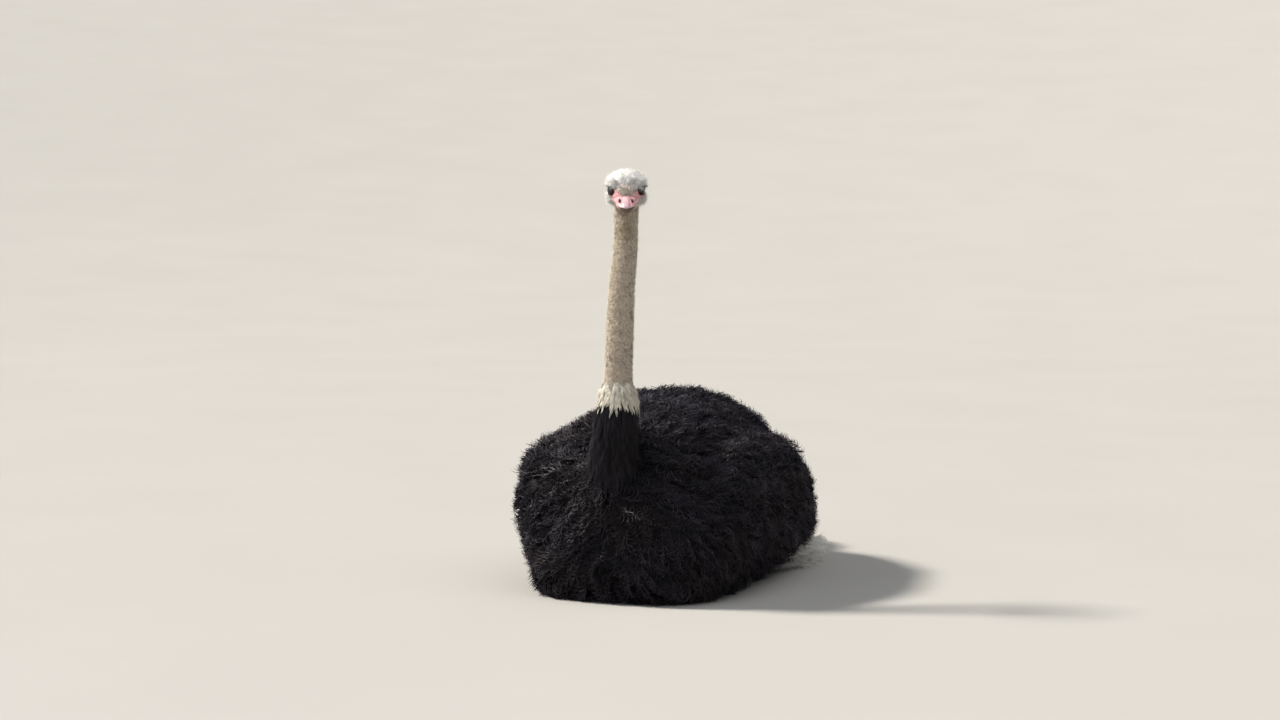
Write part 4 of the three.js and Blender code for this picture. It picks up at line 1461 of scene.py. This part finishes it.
def eye_ball(side):
    """An eyeball in the head's frame: rings round the way it looks, its front bulging out as a domed
    cornea."""
    angle, away = turn_grid(EYE_AROUND, pi * np.linspace(0, 1, EYE_ALONG) ** 1.3, 2 * pi)
    far = EYE_RADIUS + 0.0007 * np.exp(-((away / 0.55) ** 4))
    return eye_frame(side)[0] + far[..., None] * round_eye(side, angle, away)


def eye_tint(side):
    """The colour of an eyeball's points: a black pupil, then brown with two sets of streaks round the way
    it looks, darkening to the iris's rim."""
    middle, look, up, front = eye_frame(side)

    def tint(p):
        """The colour at points of the head's frame."""
        points = p - middle
        from_axis = np.arccos(np.clip(unit(points) @ look, -1, 1))
        round_axis = np.arctan2(points @ up, points @ front)
        streaks = 1 + 0.25 * np.sin(31 * round_axis) + 0.18 * np.sin(53 * round_axis + 2)
        brown = pigment(0x3A2114) * streaks[:, None]
        brown = brown + (pigment(0x120B08) - brown) * between(from_axis, IRIS - 0.09, IRIS)[:, None]
        return brown * between(from_axis, PUPIL, PUPIL + 0.03)[:, None] + 0.002

    return tint


def hard_part(name, points, node, finish):
    """A closed part of one finish from a grid of points, in place of a solid."""
    made = closed_form(name, points + TO_FRAME)
    made.data.materials.append(finish)
    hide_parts(node)
    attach(made, "root")
    return made


def head_part(name, local, tint, node, finish):
    """A hard part of the head from a grid in the head's frame, with its colour at each point."""
    made = hard_part(name, from_head(local), node, finish)
    paint(made.data, tint(to_head(vertices_of(made.data) - TO_FRAME)))


for side, word in SIDES.items():
    head_part(f"eyeball_{word}", eye_ball(side), eye_tint(side), f"eye_{word}", eye_finish)

# Bristle: stiff black keratin with no down on it, so it shines a little along its length.
lash_finish = plumage(
    "eyelash_bristle",
    grain=0.01,
    roughness=0.45,
    sheen=0.0,
    sheen_tint=0xFFFFFF,
    light=(0.9, 1.1),
    bump=0.2,
)
rng = np.random.default_rng(241)
lash_points, lash_across, lash_outward, lash_uv = [], [], [], []
for side in SIDES:
    middle, look, up, front = eye_frame(side)
    angle = np.linspace(radians(8), radians(172), LASHES)
    away = lid_opening(angle) + radians(3)
    ring = front * np.cos(angle)[:, None] + up * np.sin(angle)[:, None]
    out = round_eye(side, angle, away)
    base = middle + (EYE_RADIUS + 0.0020) * out
    length = 0.0105 * rng.uniform(0.75, 1.1, LASHES) * (0.55 + 0.45 * np.sin(angle))
    s = np.linspace(0, 1, LASH_STEPS)[None, :, None]
    start = unit(0.8 * look + 0.3 * ring - 0.15 * up)
    drop = 0.5 * look + 0.2 * ring - 0.75 * up
    bend = (drop - 0.45 * start)[:, None] * 0.5 * s**2
    path = base[:, None] + length[:, None, None] * (start[:, None] * s + bend)
    lash_points.append(from_head(path)[:, None])
    across = unit(np.cross(np.gradient(path, axis=1), np.broadcast_to(look, path.shape)))
    lash_across.append((across @ HEAD_AXES.T)[:, None])
    lash_outward.append(out @ HEAD_AXES.T)
    lash_uv.append(np.stack([0.25 * (1 - side) + 0.4 * angle / pi, np.full(LASHES, 0.5)], -1))
ribbon_piece(
    "eyelashes",
    points=np.concatenate(lash_points),
    across=np.concatenate(lash_across),
    half=np.broadcast_to(0.00028 * (1.05 - np.linspace(0, 1, LASH_STEPS)), (2 * LASHES, 1, LASH_STEPS)),
    outward=np.concatenate(lash_outward),
    root_uv=np.concatenate(lash_uv),
    tint=np.broadcast_to(pigment(0x1A1513), (2 * LASHES, 1, LASH_STEPS, 3)),
    finish=lash_finish,
    form=0.0,
)


# ---- Bill: a broad flat wedge of horn over bone, pink, with a greyer nail at its tip ----
# The upper half has a raised ridge, a long nostril in a groove on each side and a nail at its tip; the
# lower half is plainer and brown, and fits inside the upper one's edge.

BILL_ROOT, BILL_TIP = -0.026, -0.124
GAPE = -0.031
MOUTH_GAP = 0.0008
UPPER_AROUND, UPPER_ALONG = 180, 130
LOWER_AROUND, LOWER_ALONG = 120, 90
NOSTRIL = np.array([0.0168, -0.088, -0.0168])


def bill_upper(angle, t):
    """The upper bill in the head's frame: half an oval over a flat underside, along the head from root to
    tip."""
    y = BILL_ROOT + (BILL_TIP - BILL_ROOT) * t
    half, deep = read_rows(
        [
            (-0.124, 0.019, 0.009),
            (-0.112, 0.022, 0.012),
            (-0.092, 0.025, 0.0165),
            (-0.068, 0.028, 0.0205),
            (-0.040, 0.0325, 0.0205),
            (-0.026, 0.0330, 0.0190),
        ],
        y,
    )
    keep = dome(t, 0, 0.24)
    box = squared(angle, np.where(np.sin(angle) >= 0, 2.1, 3.0))
    reach = np.where(np.sin(angle) >= 0, 0.7, 0.3)
    z = GAPE + deep * keep * (0.3 + reach * box * np.sin(angle))
    return np.stack([half * keep * box * np.cos(angle), y, z], -1)


def on_nail(p):
    """1 on the hard plate at the upper bill's tip: its back edge is an arc."""
    arc = -p[..., 1] - 0.012 * (p[..., 0] / 0.010) ** 2
    return between(arc, 0.1070, 0.1085) * np.exp(-((p[..., 0] / 0.0125) ** 6))


def bill_relief(p, angle, t):
    """How far the upper bill's horn stands out: the ridge, the grooves beside it, the nostrils and their
    rims, the nail, and the flared cutting edge."""
    q = mirrored(p)
    ridge = np.exp(-((np.abs(p[..., 0]) / 0.0088) ** 4)) * (np.sin(angle) > 0)
    out = 0.0045 * ridge * (1 - 0.60 * t) * between(t, 0.34, 0.58)
    groove = np.exp(-(((np.abs(p[..., 0]) - 0.0150) / 0.0042) ** 2)) * (np.sin(angle) > 0)
    out -= 0.0018 * groove * np.exp(-(((p[..., 1] + 0.082) / 0.024) ** 2))
    away = np.sum(((q - NOSTRIL) / np.array([0.0028, 0.0128, 0.0090])) ** 2, -1)
    out -= 0.0070 * np.exp(-(away**2))
    out += 0.0011 * np.exp(-(((np.sqrt(away) - 1.45) / 0.35) ** 2))
    out += 0.0010 * on_nail(p) * (np.sin(angle) > -0.3)
    edge = np.exp(-(((np.sin(angle) + 0.12) / 0.13) ** 2))
    out += 0.0008 * edge * (1 - t)
    rings = 0.00022 * np.sin(2 * pi * p[..., 1] / 0.0052) * ridge
    return out + rings * between(0.82 - t, 0.0, 0.05) * between(t, 0.15, 0.3)


def bill_tint(p):
    """Pink, paler on the ridge and at the edge, with pale patches that are partly wear and partly painted
    highlight, greyer on the nail, and painted black in the nostrils as the shade inside their openings.
    """
    pink, pale = pigment(0xC48A91), pigment(0xCD999F)
    tint = pink + (pale - pink) * np.exp(-((p[..., 0:1] / 0.010) ** 4)) * between(-p[..., 1:2], 0.07, 0.10)
    # Pale patches: partly wear on the horn and partly painted highlight.
    pale_wear_and_highlight = 0.55 * between(sway(p, 0.010, 61), -0.1, 1.3)[..., None]
    tint = tint + (pigment(0xDCC2BC) - tint) * pale_wear_and_highlight
    edge = np.exp(-(((p[..., 2:3] - GAPE - 0.002) / 0.0035) ** 2))
    tint = tint + (pigment(0xD2B6AE) - tint) * 0.6 * edge
    tint = tint + (pigment(0xAE9AA2) - tint) * 0.7 * on_nail(p)[..., None]
    # Painted shade: the nostril openings are painted nearly black.
    away = np.sum(((mirrored(p) - NOSTRIL) / np.array([0.0040, 0.0146, 0.0118])) ** 2, -1)
    dark = np.clip(1.7 * np.exp(-(away**2)), 0, 1)[..., None]
    return tint * (1 - 0.995 * dark)


# Horn polished by feeding: smooth, clouded every 6 mm, with a grain of 1 mm that breaks its highlights.
bill_horn, tree, shader = new_finish("bill_horn")
place, _ = mottled(tree, shader, 0.006, 4, 0.86, 1.1)
grain = add(tree, "TexNoise", {"Vector": place, "Scale": 1 / 0.0009, "Detail": 2}).outputs["Fac"]
height = add(tree, "Bump", {"Height": grain, "Strength": 0.25, "Distance": 0.0003})
tree.links.new(height.outputs["Normal"], shader.inputs["Normal"])
shader.inputs["Roughness"].default_value = 0.42
shader.inputs["IOR"].default_value = 1.55

bill_angle, bill_t = turn_grid(UPPER_AROUND, np.sin(0.5 * pi * np.linspace(0, 1, UPPER_ALONG)), 2 * pi)
upper = bill_upper(bill_angle, bill_t)
upper = upper + grid_normals(upper) * bill_relief(upper, bill_angle, bill_t)[..., None]
head_part("bill_upper_horn", upper, bill_tint, "bill_upper", bill_horn)


def bill_lower(angle, t):
    """The lower bill: a shallow scoop under the gape, slightly shorter than the upper."""
    y = BILL_ROOT + (BILL_TIP + 0.004 - BILL_ROOT) * t
    half, deep = read_rows(
        [
            (-0.120, 0.0135, 0.0125),
            (-0.108, 0.0170, 0.0150),
            (-0.080, 0.0220, 0.0165),
            (-0.040, 0.0285, 0.016),
            (-0.026, 0.0290, 0.010),
        ],
        y,
    )
    keep = dome(t, 0, 0.23)
    upper_side = np.sin(angle) >= 0
    box = squared(angle, np.where(upper_side, 3.0, 2.2))
    reach = np.where(upper_side, 0.35, 0.65)
    z = GAPE - MOUTH_GAP + deep * keep * (reach * box * np.sin(angle) - 0.35)
    groove = 0.0012 * np.exp(-(((np.abs(half * np.cos(angle)) - 0.009) / 0.002) ** 2)) * ~upper_side
    return np.stack([half * keep * box * np.cos(angle), y, z + groove * keep], -1)


def lower_tint(p):
    """Brown, pinker towards its root."""
    brown, pink = pigment(0x5E4838), pigment(0xB4857C)
    return brown + (pink - brown) * between(p[..., 1:2], -0.085, -0.055)


bill_angle, bill_t = turn_grid(LOWER_AROUND, np.sin(0.5 * pi * np.linspace(0, 1, LOWER_ALONG)), 2 * pi)
head_part("bill_lower_horn", bill_lower(bill_angle, bill_t), lower_tint, "bill_lower", bill_horn)


# ---- Claws: one heavy horn nail on each big toe ----
# Only the inner toe carries a claw. It is thick grey-brown horn that grows in rings, worn down by walking,
# and it lies almost flat on the floor in front of the toe.

# Claw horn: smooth from wear, in darker and lighter layers 4 mm apart.
claw_horn, tree, shader = new_finish("claw_horn")
place = add(tree, "TexCoord").outputs["Object"]
layers = add(tree, "TexNoise", {"Vector": place, "Scale": 1 / 0.004, "Detail": 4}).outputs["Fac"]
shade = add(tree, "Mix", {0: layers, 6: linear(0x3A302A), 7: linear(0x6A5A4C)}, data_type="RGBA")
tree.links.new(shade.outputs[2], shader.inputs["Base Color"])
height = add(tree, "Bump", {"Height": layers, "Strength": 0.3, "Distance": 0.0005})
tree.links.new(height.outputs["Normal"], shader.inputs["Normal"])
shader.inputs["Roughness"].default_value = 0.38
for side, word in SIDES.items():
    claw_points = limb_points(
        side,
        path=[(0.138, -0.200, 0.028), (0.137, -0.243, 0.022), (0.136, -0.286, 0.006)],
        sizes=[(0, 0.0135, 0.0095), (0.5, 0.012, 0.009), (1, 0.004, 0.003)],
        around=48,
        along=60,
        front=0.15,
        back=0.15,
        relief=lambda angle, t: 0.03 * np.sin(2 * pi * t * 9) * (1 - t),
    )
    hard_part(f"claw_horn_{word}", claw_points, f"claw_{word}", claw_horn)


# ---- Tail and wing quill plumes: large loose plumes, white but soiled, drooping to the floor ----
# A pale shaft carries a row of long limp barbs on each side. The tail's are stained by sand; the wing's
# show as white fluff under the flank's back edge.


def big_plumes(name, shafts, barbs, barb_long, raised, droop, thick, tint, finish, node, seed):
    """Plumes along given shafts: barbs leave both sides of each shaft, raised by up to an angle, sweep
    towards its tip, droop by their length squared and curl at their ends."""
    rng = np.random.default_rng(seed)
    count, stations = shafts.shape[:2]
    strands = 2 * barbs
    place = np.repeat(np.linspace(0.06, 0.99, barbs), 2) * (stations - 1)
    base = at_places(shafts, place)
    along = unit(at_places(unit(np.gradient(shafts, axis=1)), place))
    skyward = unit(np.array([0, 0, 1.0]) + 0.35 * rng.normal(size=(count, 1, 3)))
    normal = laid(np.broadcast_to(skyward, along.shape), along)
    shape = (count, strands)
    share = place / (stations - 1)
    profile = np.sin(pi * np.clip(0.12 + 0.80 * share, 0, 1)) ** 0.6
    points, across = curls(
        base=base,
        along=along,
        normal=normal,
        side=np.where(np.arange(strands) % 2, 1.0, -1.0) * np.ones(shape),
        length=barb_long * profile * rng.uniform(0.75, 1.15, shape),
        splay=(1.05 - 0.65 * share) * rng.uniform(0.8, 1.2, shape),
        lift=rng.uniform(0.0, raised, shape),
        winding=rng.uniform(0.7, 2.3, (count, 1))
        * rng.uniform(0.7, 1.3, shape)
        * rng.choice([-1.0, 1.0], shape),
        tilt=rng.uniform(-0.3, 0.6, shape),
        twist=rng.uniform(0.1, 0.9, shape),
    )
    s = np.linspace(0, 1, BARB_STEPS + 1)
    points[..., 2] -= droop * s**2 * rng.uniform(0.7, 1.2, (*shape, 1))
    half = thick * (1.05 - 0.8 * s**1.5) * np.ones((*shape, 1))
    colour = tint(points) * rng.uniform(0.75, 1.08, (count, 1, 1, 1)) * rng.uniform(0.85, 1.1, (*shape, 1, 1))
    root_uv = np.stack([np.arange(count) / count, np.full(count, 0.4)], -1)
    made = ribbon_piece(name, points, across, half, normal[:, 0], root_uv, colour, finish, form=0.75)
    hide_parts(node)


def tail_shafts(count, seed):
    """Shafts that leave the rump together, fan out and arch down to the floor, in layers from low to
    high."""
    rng = np.random.default_rng(seed)
    fan = np.linspace(-1, 1, count) + rng.normal(0, 0.05, count)
    fan = fan[rng.permutation(count)][:, None]
    layer = rng.uniform(-0.9, 0.9, (count, 1))
    t = np.linspace(0, 1, 16) * rng.uniform(0.78, 1.0, (count, 1))
    y = 0.52 + 0.325 * t
    height, half, deep = read_rows(
        [
            (0.50, 0.228, 0.055, 0.030),
            (0.62, 0.198, 0.105, 0.058),
            (0.75, 0.112, 0.122, 0.058),
            (0.85, 0.040, 0.108, 0.034),
        ],
        y,
    )
    x = fan * half + 0.008 * np.sin(3 * t + rng.uniform(0, 6, (count, 1)))
    z = height + layer * deep * np.sqrt(np.clip(1 - 0.6 * fan**2, 0, 1))
    return np.stack([x, y, np.maximum(z, 0.006)], -1)


def stained(p):
    """Dirty white, browner towards the floor and the tips."""
    white, sand = pigment(0xE6DFD0), pigment(0xAC9576)
    return white + (sand - white) * (0.75 * between(0.22 - p[..., 2:3], 0.02, 0.20))


# Tail plumes: matt and limp, patchy with dust every 2 cm, and thin enough to glow a little.
tail_barbs = plumage(
    "tail_plumage",
    grain=0.02,
    roughness=0.75,
    sheen=0.3,
    sheen_tint=0xFFF6E6,
    light=(0.75, 1.1),
    bump=0.3,
    through=0.35,
)
big_plumes(
    "plumes_tail",
    shafts=tail_shafts(58, 251),
    barbs=62,
    barb_long=0.062,
    raised=0.35,
    droop=0.028,
    thick=0.0010,
    tint=stained,
    finish=tail_barbs,
    node="tail",
    seed=252,
)


def quill_shafts(side, count, seed):
    """Shafts of the folded wing's white plumes: they come out under the flank and lie back along the
    floor."""
    rng = np.random.default_rng(seed)
    fan, layer = rng.uniform(-1, 1, (2, count, 1))
    start = rng.uniform(0.0, 0.35, (count, 1))
    t = start + np.linspace(0, 1, 14) * (1.0 - start) * rng.uniform(0.7, 1.0, (count, 1))
    x, y, z = read_rows(
        [
            (0, 0.262, 0.060, 0.036),
            (0.33, 0.302, 0.200, 0.042),
            (0.62, 0.320, 0.330, 0.044),
            (1, 0.308, 0.480, 0.036),
        ],
        t,
    )
    half, deep = read_rows([(0, 0.024, 0.020), (0.5, 0.036, 0.036), (1, 0.030, 0.026)], t)
    bow = 0.007 * np.sin(4 * t + rng.uniform(0, 2 * pi, (2, count, 1)))
    return np.stack([side * (x + fan * half + bow[0]), y, np.maximum(z + layer * deep + bow[1], 0.004)], -1)


def white_with_floor_shade(p):
    """White, with painted shade making it greyer close to the floor."""
    # Painted shade: greyer where the plumes lie close to the floor.
    return pigment(0xFBF9F4) * (0.88 + 0.12 * between(p[..., 2:3], 0.0, 0.04))


for side, word in SIDES.items():
    big_plumes(
        f"plumes_quill_{word}",
        shafts=quill_shafts(side, 44, 260 + side),
        barbs=52,
        barb_long=0.042,
        raised=0.8,
        droop=0.010,
        thick=0.0008,
        tint=white_with_floor_shade,
        finish=white_barbs,
        node=f"primaries_{word}",
        seed=270 + side,
    )
